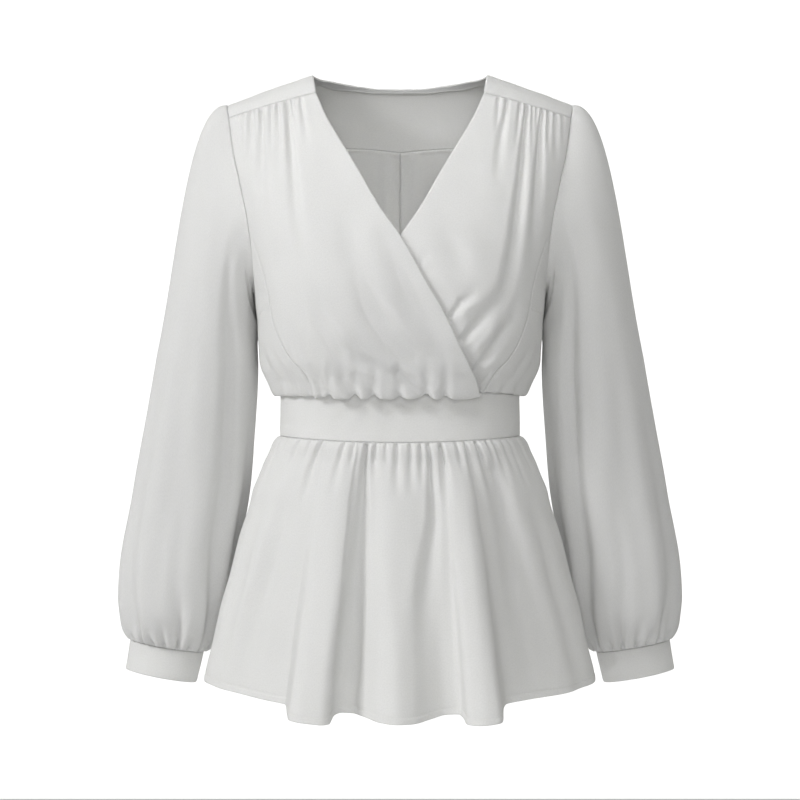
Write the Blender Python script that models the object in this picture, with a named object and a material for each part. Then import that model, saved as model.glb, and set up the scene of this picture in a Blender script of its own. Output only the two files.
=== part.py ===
"""A long-sleeved blouse with a crossed front and a gathered peplum, in the hollow form that it has when worn.

Metres, +Z up. The front faces -Y and the wearer's left is +X. The origin is the middle of
the line between the two shoulders, where the wearer holds the blouse up.

The body of the blouse is one smooth form. A point on it has an angle in degrees, from 0 at
the centre line to 90 at the side, and a level that runs from -1 at the back of the waist,
over the shoulder at 0, to 1 at the front of the waist. Each panel is a patch of that form.
Tables are in millimetres and degrees.
"""

import bmesh
import bpy
import numpy as np

MM = 0.001

# Cloth and seams
CLOTH = 1.2 * MM
DOUBLED_CLOTH = 1.8 * MM
BINDING_CLOTH = 1.0 * MM
SEAM_ANGLE = 0.07
SEAM_LEVEL = 0.0005
SEAM_GAP = 0.35 * MM
ARMHOLE_GAP = 0.5
OVERLAP_LIFT = 2.6
THINNEST_MITRE = 0.6

# Finishes: colour and roughness
IVORY_CREPE = ("ivory_crepe", (0.80, 0.80, 0.77, 1.0), 0.85)
IVORY_BAND = ("ivory_crepe_band", (0.81, 0.81, 0.78, 1.0), 0.82)

# The body of the blouse, from the back of the waist over the shoulder to the front of the waist
BODY_COLUMNS = ("level", "height", "shoulder_fall", "half_width", "depth", "fullness")
BODY = (
    (-1.00, -320.0, 0, 126.5, 83.0, 0.30),
    (-0.985, -322.5, 0, 131.0, 86.0, 0.30),
    (-0.95, -308.0, 0, 139.0, 89.0, 0.30),
    (-0.88, -286.0, 0, 148.0, 93.0, 0.32),
    (-0.78, -255.0, 0, 151.0, 99.0, 0.35),
    (-0.66, -215.0, 0, 154.0, 102.0, 0.40),
    (-0.56, -175.0, 3, 161.0, 102.0, 0.45),
    (-0.44, -130.0, 8, 173.0, 97.0, 0.50),
    (-0.32, -85.0, 14, 183.0, 86.0, 0.50),
    (-0.20, -28.0, 21, 191.0, 68.0, 0.50),
    (-0.12, 4.0, 25, 196.0, 48.0, 0.50),
    (-0.08, 12.0, 29, 198.0, 33.0, 0.50),
    (-0.04, 16.0, 31.5, 199.0, 16.0, 0.50),
    (0.00, 18.0, 32, 200.0, 0.0, 0.50),
    (0.04, 15.5, 31.5, 199.0, -16.0, 0.50),
    (0.08, 8.5, 29, 198.0, -31.0, 0.50),
    (0.12, -3.0, 25, 196.0, -42.0, 0.50),
    (0.20, -38.0, 21, 191.0, -62.0, 0.50),
    (0.32, -85.0, 14, 183.0, -86.0, 0.50),
    (0.44, -130.0, 8, 173.0, -106.0, 0.50),
    (0.56, -175.0, 3, 161.0, -122.0, 0.50),
    (0.66, -215.0, 0, 154.0, -129.0, 0.50),
    (0.78, -255.0, 0, 151.0, -128.0, 0.45),
    (0.88, -286.0, 0, 148.0, -122.0, 0.40),
    (0.95, -308.0, 0, 139.0, -113.0, 0.35),
    (0.985, -322.5, 0, 131.0, -106.0, 0.33),
    (1.00, -320.0, 0, 126.5, -98.5, 0.33),
)
NECK_POINT_ACROSS = 92.0
SHOULDER_POINT_ACROSS = 182.0
SHOULDER_ROUNDING = 60.0

# The armhole on that form, the same on the front and the back
ARMHOLE_COLUMNS = ("level", "angle")
ARMHOLE = (
    (0.00, 65.5), (0.13, 67.0), (0.24, 67.1), (0.33, 66.3), (0.42, 66.5), (0.50, 69.5),
    (0.56, 73.5), (0.61, 78.0), (0.64, 82.5), (0.655, 86.5), (0.66, 90.0), (1.00, 90.0),
)
UNDERARM_LEVEL = 0.66

# The crossing edge of a front, as its distance past the centre line, and its princess seam
CROSSING_COLUMNS = ("level", "across")
CROSSING = (
    (0.13, -88.0), (0.185, -78.0), (0.26, -62.0), (0.355, -41.0), (0.45, -20.5), (0.53, 1.0),
    (0.61, 20.0), (0.70, 40.0), (0.83, 60.5), (0.90, 71.0), (1.00, 82.5),
)
HIDDEN_CROSSING = (
    (0.13, -88.0), (0.185, -78.0), (0.26, -62.0), (0.355, -41.0), (0.45, -20.5), (0.53, 1.0),
    (0.61, 20.0), (0.70, 38.0), (0.83, 52.0), (0.90, 57.0), (1.00, 62.0),
)
PRINCESS_COLUMNS = ("level", "across")
PRINCESS = (
    (0.49, 155.0), (0.53, 150.5), (0.57, 145.5), (0.655, 136.5), (0.735, 131.6), (0.80, 124.5),
    (0.873, 112.0), (0.92, 98.0), (1.00, 82.6),
)
YOKE_FRONT_LEVEL = 0.13
PRINCESS_TOP_LEVEL = 0.49
BELOW_ARM_LEVELS = (0.66, 0.75, 0.83, 0.89, 0.93, 0.965, 0.985, 1.0)
SIDE_LEVELS = (0.49, 0.53, 0.57, 0.615, 0.64, 0.652) + BELOW_ARM_LEVELS
FRONT_LEVELS = (0.16, 0.20, 0.26, 0.34, 0.42, 0.49, 0.53, 0.57, 0.615) + BELOW_ARM_LEVELS
BACK_LEVELS = (0.28, 0.34, 0.40, 0.46, 0.52, 0.57, 0.615, 0.64, 0.652) + BELOW_ARM_LEVELS

# The yoke, along its length from the front seam (0) to the centre back (1)
YOKE_COLUMNS = ("along", "neck_angle", "neck_level", "outer_angle", "outer_level")
YOKE = (
    (0.00, 26.6, 0.130, 67.0, 0.13),
    (0.12, 27.2, 0.060, 66.2, 0.06),
    (0.22, 27.4, 0.000, 65.5, 0.00),
    (0.34, 25.8, -0.050, 66.4, -0.08),
    (0.46, 22.0, -0.085, 67.0, -0.16),
    (0.56, 18.0, -0.108, 67.1, -0.23),
    (0.68, 13.0, -0.127, 49.0, -0.239),
    (0.84, 6.5, -0.142, 25.0, -0.256),
    (1.00, 0.0, -0.146, 0.0, -0.28),
)
YOKE_CORNER = 0.56
YOKE_BACK_CORNER = (67.1, -0.23)
YOKE_BACK_MIDDLE_LEVEL = -0.28
YOKE_STATIONS = (0.0, 0.06, 0.12, 0.17, 0.22, 0.28, 0.34, 0.40, 0.46, 0.51, 0.56, 0.62, 0.68, 0.76, 0.84, 0.92, 1.0)
YOKE_SHARES = (0.0, 0.075, 0.25, 0.42, 0.60, 0.80, 1.0)
BINDING_START = 0.22
BINDING_INSET = 1.5

# Gathers: ridges and troughs by turns, along lines that run down a panel
FRONT_GATHER_LINES = 20
BACK_GATHER_LINES = 12
GATHER_COLUMNS = ("level", "height")
FRONT_GATHERS = (
    (0.13, 0.9), (0.16, 1.7), (0.20, 1.4), (0.30, 0.6), (0.42, 0.0), (0.75, 0.0), (0.89, 0.9), (0.965, 2.6),
    (0.985, 2.2), (1.00, 0.3),
)
BACK_GATHERS = ((0.23, 0.0), (0.80, 0.0), (0.89, 0.6), (0.965, 1.8), (0.985, 1.6), (1.00, 0.3))
BILLOW_LEVEL = 0.94
TUCK_COLUMNS = ("level", "inward", "up")
UNDER_FRONT_TUCK = (
    (0.49, 0.0, 0.0), (0.57, 1.8, 0.0), (0.66, 2.0, 0.0), (0.83, 2.0, 0.0), (0.93, 3.5, 0.0), (0.965, 6.0, 0.0),
    (0.985, 6.0, 4.5), (1.00, 0.0, 0.0),
)
DEEPEST_OVER_UNDER = 2.0
COVER_START = 20.0
COVER_EASE = 16.0

# Soft folds in a front, each a line on the form from one point to another
FOLD_COLUMNS = ("from_across", "from_level", "to_across", "to_level", "width", "depth")
OVER_FRONT_FOLDS = (
    (-26, 0.50, 42, 0.80, 15, -3.0),
    (-66, 0.34, -30, 0.64, 18, -1.8),
    (-105, 0.20, -92, 0.52, 12, -1.6),
    (-140, 0.18, -120, 0.48, 12, -1.4),
)
UNDER_FRONT_FOLDS = (
    (-40, 0.60, -78, 0.36, 9, -3.2),
    (-60, 0.74, -104, 0.50, 10, -3.0),
    (-70, 0.86, -96, 0.74, 9, -2.4),
    (-110, 0.18, -104, 0.46, 10, -2.4),
    (-138, 0.18, -124, 0.44, 12, -1.6),
)

# The waistband and the peplum
WAISTBAND_TOP = -320.8
WAISTBAND_TOP_HALF_WIDTH = 126.5
WAISTBAND_BOTTOM_HALF_WIDTH = 127.0
WAIST_DEPTH = {"front": -98.5, "back": 83.0}
WAIST_FULLNESS = {"front": 0.33, "back": 0.30}
WAISTBAND_BOTTOM_MIDDLE = {"front": -370.0, "back": -366.0}
WAISTBAND_BOTTOM_SIDE = -364.0
PEPLUM_COLUMNS = ("height", "half_width")
PEPLUM = (
    (-630, 207.0), (-622, 206.7), (-581, 197.5), (-542, 189.0), (-510, 180.0), (-471, 170.4), (-434, 158.6),
    (-422, 156.0), (-406, 149.5), (-390, 143.0), (-375, 134.6), (-364, 127.0),
)
PEPLUM_HEM_DEPTH = {"front": -102.0, "back": 95.0}
PEPLUM_HEM_SIDE = -622.0
PEPLUM_HEM_MIDDLE = {"front": -644.0, "back": -640.0}
FLUTE_COLUMNS = ("centre", "half_angle", "edge_angle", "depth", "drop")
FRONT_FLUTES = (
    (-1.6, 31.0, 2.0, 33.0, 0.0),
    (-26.0, 6.5, 1.5, 35.0, 8.0),
    (-1.0, 5.5, 6.5, 32.0, 5.0),
    (24.2, 4.5, 1.3, 38.0, 9.0),
)
BACK_FLUTES = (
    (-50.0, 2.5, 11.0, 34.0, 3.0),
    (-19.0, 3.5, 11.0, 42.0, 5.0),
    (14.0, 2.5, 10.0, 38.0, 4.0),
    (46.0, 3.5, 12.0, 36.0, 3.0),
)
FLUTE_GROWTH = 0.9
PEPLUM_GATHERS = {"front": 24, "back": 20}
PEPLUM_GATHER_COLUMNS = ("down", "height")
PEPLUM_GATHER_HEIGHTS = ((0.0, 1.3), (0.06, 2.6), (0.16, 1.7), (0.35, 0.0), (1.0, 0.0))
PEPLUM_ROWS = (0.0, 0.03, 0.08, 0.16, 0.28, 0.42, 0.60, 0.80, 1.0)
CLOSEST_LINES = 0.8

# The sleeve of the wearer's right arm, from the armhole to the cuff
SLEEVE_COLUMNS = ("along", "height", "across", "back", "half_width", "half_depth", "tilt")
SLEEVE = (
    (0.38, -262.0, -203.0, 12.0, 51.5, 62.0, 6.0),
    (0.43, -291.0, -205.7, 15.0, 54.8, 62.0, 6.0),
    (0.54, -355.0, -213.4, 22.0, 58.6, 62.0, 6.5),
    (0.665, -430.0, -224.5, 34.0, 62.0, 64.0, 7.0),
    (0.785, -500.0, -239.0, 42.0, 61.8, 64.0, 8.0),
    (0.865, -545.0, -245.0, 45.0, 59.8, 61.0, 9.0),
    (0.92, -572.0, -248.0, 45.5, 54.0, 52.0, 9.5),
    (0.965, -585.5, -249.8, 46.0, 46.0, 41.0, 9.75),
    (1.00, -590.8, -251.2, 46.0, 41.0, 33.5, 9.75),
)
CAP_END = 0.38
CAP_REACH_UNDERARM = 8.0
CAP_REACH_SHOULDER = 40.0
CAP_ARM_SHARE = 0.45
CAP_RISE = 0.12
SLEEVE_ROWS = (0.0, 0.05, 0.11, 0.19, 0.28, 0.38, 0.46, 0.56, 0.665, 0.76, 0.83, 0.885, 0.925, 0.96, 0.985, 1.0)
SLEEVE_GATHERS = 18
SLEEVE_GATHER_COLUMNS = ("along", "height")
SLEEVE_GATHER_HEIGHTS = ((0.0, 0.0), (0.76, 0.0), (0.885, 1.3), (0.96, 2.2), (0.985, 1.6), (1.0, 0.8))
SLEEVE_CREASE_COLUMNS = ("around", "from_along", "to_along", "width", "depth")
SLEEVE_CREASES = (
    (0.31, 0.12, 0.90, 0.030, -4.0),
    (0.13, 0.40, 0.92, 0.035, -2.2),
    (0.22, 0.55, 0.95, 0.025, -1.8),
    (0.66, 0.15, 0.88, 0.030, -3.6),
    (0.82, 0.35, 0.90, 0.035, -2.4),
)

# The cuff below it
CUFF_DEPTH = 32.5
CUFF_TOP = (40.3, 32.0, 9.75)
CUFF_BOTTOM = (39.0, 31.0, 11.0)
CUFF_LINES = 28


def table(names, rows):
    """Turn the rows of a table into named columns."""
    return {name: np.array(values, float) for name, values in zip(names, zip(*rows))}


def curve(stations, values):
    """Return a function that reads values along stations as a smooth curve that never overshoots."""
    order = np.argsort(stations)
    stations = np.array(stations, float)[order]
    values = np.array(values, float)[order]
    steps = np.diff(stations)
    slopes = np.diff(values) / steps
    before, after = slopes[:-1], slopes[1:]
    weight_before = 2 * steps[1:] + steps[:-1]
    weight_after = steps[1:] + 2 * steps[:-1]
    rising = before * after > 0
    mean = np.where(rising, weight_before * after + weight_after * before, 1.0)
    middle = np.where(rising, (weight_before + weight_after) * before * after / mean, 0.0)
    tangents = np.concatenate([slopes[:1], middle, slopes[-1:]])

    def read(at):
        at = np.clip(at, stations[0], stations[-1])
        left = np.clip(np.searchsorted(stations, at, side="right") - 1, 0, len(steps) - 1)
        t = (at - stations[left]) / steps[left]
        rise = values[left + 1] - values[left]
        lead = steps[left] * tangents[left]
        trail = steps[left] * tangents[left + 1]
        return values[left] + t * lead + t**2 * (3 * rise - 2 * lead - trail) + t**3 * (lead + trail - 2 * rise)

    return read


def curves(names, rows):
    """Make one curve for each column of a table, along its first column."""
    columns = table(names, rows)
    return {name: curve(columns[names[0]], columns[name]) for name in names[1:]}


def ease(t):
    """A smooth step from 0 to 1."""
    t = np.clip(t, 0.0, 1.0)
    return t * t * (3 - 2 * t)


BODY_CURVES = curves(BODY_COLUMNS, BODY)
ARMHOLE_ANGLE = curves(ARMHOLE_COLUMNS, ARMHOLE)["angle"]
CROSSING_ACROSS = curves(CROSSING_COLUMNS, CROSSING)["across"]
HIDDEN_CROSSING_ACROSS = curves(CROSSING_COLUMNS, HIDDEN_CROSSING)["across"]
YOKE_CURVES = curves(YOKE_COLUMNS, YOKE)
PEPLUM_HALF_WIDTH = curves(PEPLUM_COLUMNS, PEPLUM)["half_width"]
SLEEVE_CURVES = curves(SLEEVE_COLUMNS, SLEEVE)


def shoulder_slope(across):
    """How far the shoulder has fallen at a distance from the centre, from 0 at the neck to 1 at the armhole."""
    reach = np.hypot(across, SHOULDER_ROUNDING)
    neck = np.hypot(NECK_POINT_ACROSS, SHOULDER_ROUNDING)
    shoulder = np.hypot(SHOULDER_POINT_ACROSS, SHOULDER_ROUNDING)
    return (reach - neck) / (shoulder - neck)


def body_point(angle, level):
    """A point on the outside of the body of the blouse, in millimetres."""
    turn = np.radians(angle)
    across = BODY_CURVES["half_width"](level) * np.sin(turn)
    fullness = 1 + BODY_CURVES["fullness"](level) * np.sin(turn) ** 2
    forward = BODY_CURVES["depth"](level) * np.cos(turn) * fullness
    height = BODY_CURVES["height"](level) - BODY_CURVES["shoulder_fall"](level) * shoulder_slope(across)
    return np.stack([across, forward, height], axis=-1)


def angle_across(across, level):
    """The angle at which the body of the blouse is a given distance from the centre line."""
    return np.degrees(np.arcsin(across / BODY_CURVES["half_width"](level)))


def wall_offsets(outer, inside, tube):
    """For each point of an outer face, the way out of the wall, longer at corners so that the wall stays even."""
    faces = np.cross(outer[1:, 1:] - outer[:-1, :-1], outer[1:, :-1] - outer[:-1, 1:])
    faces /= np.linalg.norm(faces, axis=-1, keepdims=True)
    faces = np.pad(faces, ((0, 0), (1, 1), (0, 0)), mode="wrap" if tube else "edge")
    faces = np.pad(faces, ((1, 1), (0, 0), (0, 0)), mode="edge")
    mean = (faces[1:, 1:] + faces[1:, :-1] + faces[:-1, 1:] + faces[:-1, :-1]) / 4
    length = np.linalg.norm(mean, axis=-1, keepdims=True)
    outward = np.sign(np.sum(mean * (outer - inside)))
    return outward * mean / length / np.maximum(length, THINNEST_MITRE)


def finish_of(name, colour, roughness):
    """One material for each finish, made once."""
    material = bpy.data.materials.get(name)
    if material is None:
        material = bpy.data.materials.new(name)
        material.use_nodes = True
        shader = material.node_tree.nodes["Principled BSDF"]
        shader.inputs["Base Color"].default_value = colour
        shader.inputs["Roughness"].default_value = roughness
        shader.inputs["Metallic"].default_value = 0.0
    return material


def add_cloth(name, outer, thickness, finish, inside, tube=False, rim=None):
    """Build one closed wall of cloth from the points of its outer face, rows by columns, in millimetres.

    A tube closes on itself across its columns. rim gives the way out of the wall along its first row.
    """
    outer = outer * MM
    outward = wall_offsets(outer, inside * MM, tube)
    if rim is not None:
        outward[0] = rim
    inner = outer - outward * thickness
    rows, columns = outer.shape[:2]

    wall = bmesh.new()
    bmesh.ops.create_grid(wall, x_segments=columns - 1, y_segments=rows - 1, size=0.5)
    second_layer = bmesh.ops.extrude_face_region(wall, geom=wall.faces[:], use_keep_orig=True)["geom"]
    for vertex in second_layer:
        if isinstance(vertex, bmesh.types.BMVert):
            vertex.co.z = 1.0
    if tube:
        ends = [face for face in wall.faces if all(abs(abs(v.co.x) - 0.5) < 1e-4 for v in face.verts)
                and abs(sum(v.co.x for v in face.verts)) > 1.9]
        bmesh.ops.delete(wall, geom=ends, context="FACES_ONLY")
    for vertex in wall.verts:
        column = round((vertex.co.x + 0.5) * (columns - 1))
        row = round((vertex.co.y + 0.5) * (rows - 1))
        layer = inner if vertex.co.z > 0.5 else outer
        vertex.co = layer[row, column]
    if tube:
        bmesh.ops.remove_doubles(wall, verts=wall.verts[:], dist=1e-6)
    bmesh.ops.recalc_face_normals(wall, faces=wall.faces[:])
    if wall.calc_volume(signed=True) < 0:
        bmesh.ops.reverse_faces(wall, faces=wall.faces[:])

    mesh = bpy.data.meshes.new(name)
    wall.to_mesh(mesh)
    wall.free()
    mesh.shade_smooth()
    mesh.set_sharp_from_angle(angle=np.radians(50))
    mesh.materials.append(finish_of(*finish))
    piece = bpy.data.objects.new(name, mesh)
    bpy.context.scene.collection.objects.link(piece)
    return piece


def mirrored(points):
    """The same points on the wearer's other side."""
    return points * np.array([-1.0, 1.0, 1.0])


BODY_INSIDE = np.array([0.0, 0.0, -200.0])


def gather_lines(count):
    """Uneven places from 0 to 1 for gathers that run side by side."""
    step = np.arange(count + 1)
    uneven = step + 0.28 * np.sin(step * 2.4) + 0.16 * np.sin(step * 5.1)
    return (uneven - uneven[0]) / (uneven[-1] - uneven[0])


def gather_relief(count, heights):
    """Ridges and troughs by turns, as heights for each row and line, fading at the panel's two edges."""
    line = np.arange(count + 1)
    wave = -np.cos(np.pi * line) * (1 + 0.3 * np.sin(line * 1.7))
    fade = np.minimum(1.0, np.minimum(line, count - line) / 2)
    return heights[:, None] * (wave * fade)[None, :]


def fold_relief(across, level, names, rows):
    """Soft troughs along lines on the form."""
    relief = np.zeros_like(across)
    folds = table(names, rows)
    level_size = 380.0
    for index in range(len(rows)):
        start = np.array([folds["from_across"][index], folds["from_level"][index] * level_size])
        end = np.array([folds["to_across"][index], folds["to_level"][index] * level_size])
        way = end - start
        place = np.stack([across, level * level_size], axis=-1) - start
        share = np.clip(np.sum(place * way, axis=-1) / np.sum(way * way), 0, 1)
        distance = np.linalg.norm(place - share[..., None] * way, axis=-1) / folds["width"][index]
        relief += folds["depth"][index] * np.sin(np.pi * (0.12 + 0.76 * share)) * np.exp(-distance**2)
    return relief


def princess_across(level):
    """The princess seam's distance from the centre line, straight between the levels that both panels share."""
    shared = np.array(FRONT_LEVELS)
    return np.interp(level, shared, curves(PRINCESS_COLUMNS, PRINCESS)["across"](shared))


def body_normal(angle, level):
    """The way out of the body of the blouse at a place on it."""
    step_angle, step_level = 0.5, 0.004
    along = body_point(angle + step_angle, level) - body_point(angle - step_angle, level)
    down = body_point(angle, level + step_level) - body_point(angle, level - step_level)
    normal = np.cross(along, down)
    normal /= np.linalg.norm(normal, axis=-1, keepdims=True)
    outward = np.sign(np.sum(normal * (body_point(angle, level) - BODY_INSIDE), axis=-1, keepdims=True))
    return normal * outward


def relief_way(angle, level):
    """The way in which relief rises from a panel, level where the cloth billows over the waistband."""
    outward = body_normal(angle, np.clip(level, -BILLOW_LEVEL, BILLOW_LEVEL))
    flat = outward * np.array([1.0, 1.0, 0.0])
    flat /= np.linalg.norm(flat, axis=-1, keepdims=True)
    return np.where((np.abs(level) > BILLOW_LEVEL)[..., None], flat, outward)


def cover(across, other_edge):
    """How far a front lies on the other one, from 0 clear of it to 1 over or under it."""
    return ease((across - other_edge + COVER_START) / COVER_EASE)


def front_panel(folds, own_crossing, other_crossing, is_over):
    """The front on the wearer's right, from its outer edge to its crossing edge."""
    lines = gather_lines(FRONT_GATHER_LINES)
    levels = np.array((YOKE_FRONT_LEVEL + SEAM_LEVEL,) + FRONT_LEVELS)
    share, level = np.meshgrid(lines, levels)
    armhole = ARMHOLE_ANGLE(level)
    princess = angle_across(princess_across(level), level)
    outer_edge = -np.where(level < PRINCESS_TOP_LEVEL, armhole, princess) + SEAM_ANGLE
    crossing_edge = angle_across(own_crossing(level), level)
    angle = outer_edge + (crossing_edge - outer_edge) * share
    points = body_point(angle, level)

    gathers = curves(GATHER_COLUMNS, FRONT_GATHERS)["height"](levels)
    relief = gather_relief(FRONT_GATHER_LINES, gathers)
    relief += fold_relief(points[..., 0], level, FOLD_COLUMNS, folds)
    covered = cover(points[..., 0], -other_crossing(level))
    if is_over:
        relief = relief * (1 - covered) + covered * (OVERLAP_LIFT + np.maximum(relief, -DEEPEST_OVER_UNDER))
    else:
        tuck = curves(TUCK_COLUMNS, UNDER_FRONT_TUCK)
        relief = relief * (1 - covered) + covered * (np.minimum(relief, 0.0) - tuck["inward"](level))
        points[..., 2] += covered * tuck["up"](level)
    return points + relief_way(angle, level) * relief[..., None]


def add_fronts():
    """Two gathered fronts. The wearer's right one lies on top."""
    over = front_panel(OVER_FRONT_FOLDS, CROSSING_ACROSS, HIDDEN_CROSSING_ACROSS, is_over=True)
    under = mirrored(front_panel(UNDER_FRONT_FOLDS, HIDDEN_CROSSING_ACROSS, CROSSING_ACROSS, is_over=False))
    add_cloth("front_over", over, CLOTH, IVORY_CREPE, BODY_INSIDE)
    add_cloth("front_under", under, CLOTH, IVORY_CREPE, BODY_INSIDE)


def add_side_panels():
    """A slim panel on each side, from the princess seam to the side seam, coming to a point on the armhole.

    The wearer's left one is tucked in beside the crossing edge of the upper front.
    """
    levels = np.array(SIDE_LEVELS)
    share, level = np.meshgrid(np.linspace(0, 1, 5), levels)
    side = -ARMHOLE_ANGLE(level) + SEAM_ANGLE
    princess = -angle_across(princess_across(level), level) - SEAM_ANGLE
    angle = side + (princess - side) * share
    points = body_point(angle, level)
    add_cloth("side_panel_right", points, CLOTH, IVORY_CREPE, BODY_INSIDE)

    covered = cover(-princess_across(level), -CROSSING_ACROSS(level)) * ease(share)
    tuck = curves(TUCK_COLUMNS, UNDER_FRONT_TUCK)
    points = points - relief_way(angle, level) * (covered * tuck["inward"](level))[..., None]
    points[..., 2] += covered * tuck["up"](level)
    add_cloth("side_panel_left", mirrored(points), CLOTH, IVORY_CREPE, BODY_INSIDE)


def back_seam_level(angle):
    """The level of the seam between the yoke and the back."""
    columns = table(YOKE_COLUMNS, YOKE)
    back = columns["along"] >= YOKE_CORNER
    return curve(columns["outer_angle"][back], columns["outer_level"][back])(angle)


def add_backs():
    """Two back panels, sewn together along the centre back."""
    lines = gather_lines(BACK_GATHER_LINES)
    corner_angle, corner_level = YOKE_BACK_CORNER
    levels = np.array((-corner_level,) + BACK_LEVELS)
    share, side_level = np.meshgrid(lines, levels)
    down = (side_level + corner_level) / (1 + corner_level)
    top = -back_seam_level(corner_angle * share) + SEAM_LEVEL
    level = -(top + (1 - top) * down)
    side = -ARMHOLE_ANGLE(side_level) + SEAM_ANGLE
    angle = -SEAM_ANGLE + (side + SEAM_ANGLE) * share
    points = body_point(angle, level)
    gathers = curves(GATHER_COLUMNS, BACK_GATHERS)["height"](levels)
    relief = gather_relief(BACK_GATHER_LINES, gathers)
    points = points + relief_way(angle, level) * relief[..., None]
    add_cloth("back_right", points, CLOTH, IVORY_CREPE, BODY_INSIDE)
    add_cloth("back_left", mirrored(points), CLOTH, IVORY_CREPE, BODY_INSIDE)


def yoke_points(share, along):
    """Points on the yoke. share runs from the neck to the outer edge, along from -1 to 1 around the neck.

    Both ends of along are front seams, the wearer's right one first, and 0 is the centre back.
    """
    station = 1 - np.abs(along)
    neck_angle = YOKE_CURVES["neck_angle"](station)
    neck_level = YOKE_CURVES["neck_level"](station)
    outer_level = YOKE_CURVES["outer_level"](station)
    at_armhole = station <= YOKE_CORNER + 1e-6
    outer_angle = np.where(at_armhole, ARMHOLE_ANGLE(np.abs(outer_level)), YOKE_CURVES["outer_angle"](station))
    outer_level = np.where(at_armhole, outer_level, back_seam_level(outer_angle))
    outer_angle = np.where(at_armhole, outer_angle - SEAM_ANGLE, outer_angle)
    outer_level = np.where(station >= YOKE_CORNER - 1e-6, outer_level + SEAM_LEVEL, outer_level)
    angle = neck_angle + (outer_angle - neck_angle) * share
    level = neck_level + (outer_level - neck_level) * share
    level = np.where(station < 1e-6, level - SEAM_LEVEL, level)
    return body_point(np.sign(along) * angle, level)


def add_yoke():
    """One piece over both shoulders and the upper back, with a narrow binding inside the back of the neck."""
    half = 1 - np.array(YOKE_STATIONS)
    around = np.concatenate([-half, half[-2::-1]])
    share, along = np.meshgrid(np.array(YOKE_SHARES), around)
    points = yoke_points(share, along)
    add_cloth("yoke", points, CLOTH, IVORY_CREPE, BODY_INSIDE)

    inset = points - wall_offsets(points, BODY_INSIDE, tube=False) * BINDING_INSET
    bound = np.abs(around) <= 1 - BINDING_START + 1e-6
    add_cloth("neck_binding", inset[bound, :2], BINDING_CLOTH, IVORY_BAND, BODY_INSIDE)


def waist_point(angle, half_width, side_of_body, height):
    """A point on the waist seams at a height."""
    turn = np.radians(angle)
    forward = WAIST_DEPTH[side_of_body] * np.cos(turn) * (1 + WAIST_FULLNESS[side_of_body] * np.sin(turn) ** 2)
    return np.stack([half_width * np.sin(turn), forward, height], axis=-1)


def waistband_bottom(angle, side_of_body):
    """The height of the seam between the waistband and the peplum."""
    middle = WAISTBAND_BOTTOM_MIDDLE[side_of_body]
    return WAISTBAND_BOTTOM_SIDE + (middle - WAISTBAND_BOTTOM_SIDE) * np.cos(np.radians(angle)) ** 2


def add_waistbands():
    """A flat band in two halves, front and back, seamed at the sides."""
    for side_of_body in ("front", "back"):
        angles = np.linspace(-90 + SEAM_ANGLE, 90 - SEAM_ANGLE, 27)
        angle, down = np.meshgrid(angles, np.array([0.0, 0.5, 1.0]))
        half_width = WAISTBAND_TOP_HALF_WIDTH + (WAISTBAND_BOTTOM_HALF_WIDTH - WAISTBAND_TOP_HALF_WIDTH) * down
        height = WAISTBAND_TOP + (waistband_bottom(angle, side_of_body) - WAISTBAND_TOP) * down
        points = waist_point(angle, half_width, side_of_body, height)
        inside = np.array([0.0, 0.0, WAISTBAND_TOP])
        add_cloth("waistband_" + side_of_body, points, DOUBLED_CLOTH, IVORY_BAND, inside)


def flute_shape(angle, flutes, column):
    """How far the flutes push the hem out, or let it down, at each angle."""
    columns = table(FLUTE_COLUMNS, flutes)
    total = np.zeros_like(angle)
    for centre, half, edge, amount in zip(columns["centre"], columns["half_angle"], columns["edge_angle"],
                                          columns[column]):
        total += amount * (1 - ease((np.abs(angle - centre) - half) / edge))
    return total


def peplum_lines(gathers, flutes):
    """The angles of the peplum's lines: one for each ridge and trough of its gathers, and each flute's edges."""
    lines = -90 + 180 * gather_lines(2 * gathers)
    columns = table(FLUTE_COLUMNS, flutes)
    edges = []
    for centre, half, edge in zip(columns["centre"], columns["half_angle"], columns["edge_angle"]):
        edges += [centre + side * (half + share * edge) for side in (-1, 1) for share in (0.0, 0.5, 1.0)]
    kept = [lines[0], lines[-1]]
    for angle in sorted(edges) + list(lines[1:-1]):
        if min(abs(angle - other) for other in kept) > CLOSEST_LINES:
            kept.append(angle)
    return np.array(sorted(kept)), lines


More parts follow.
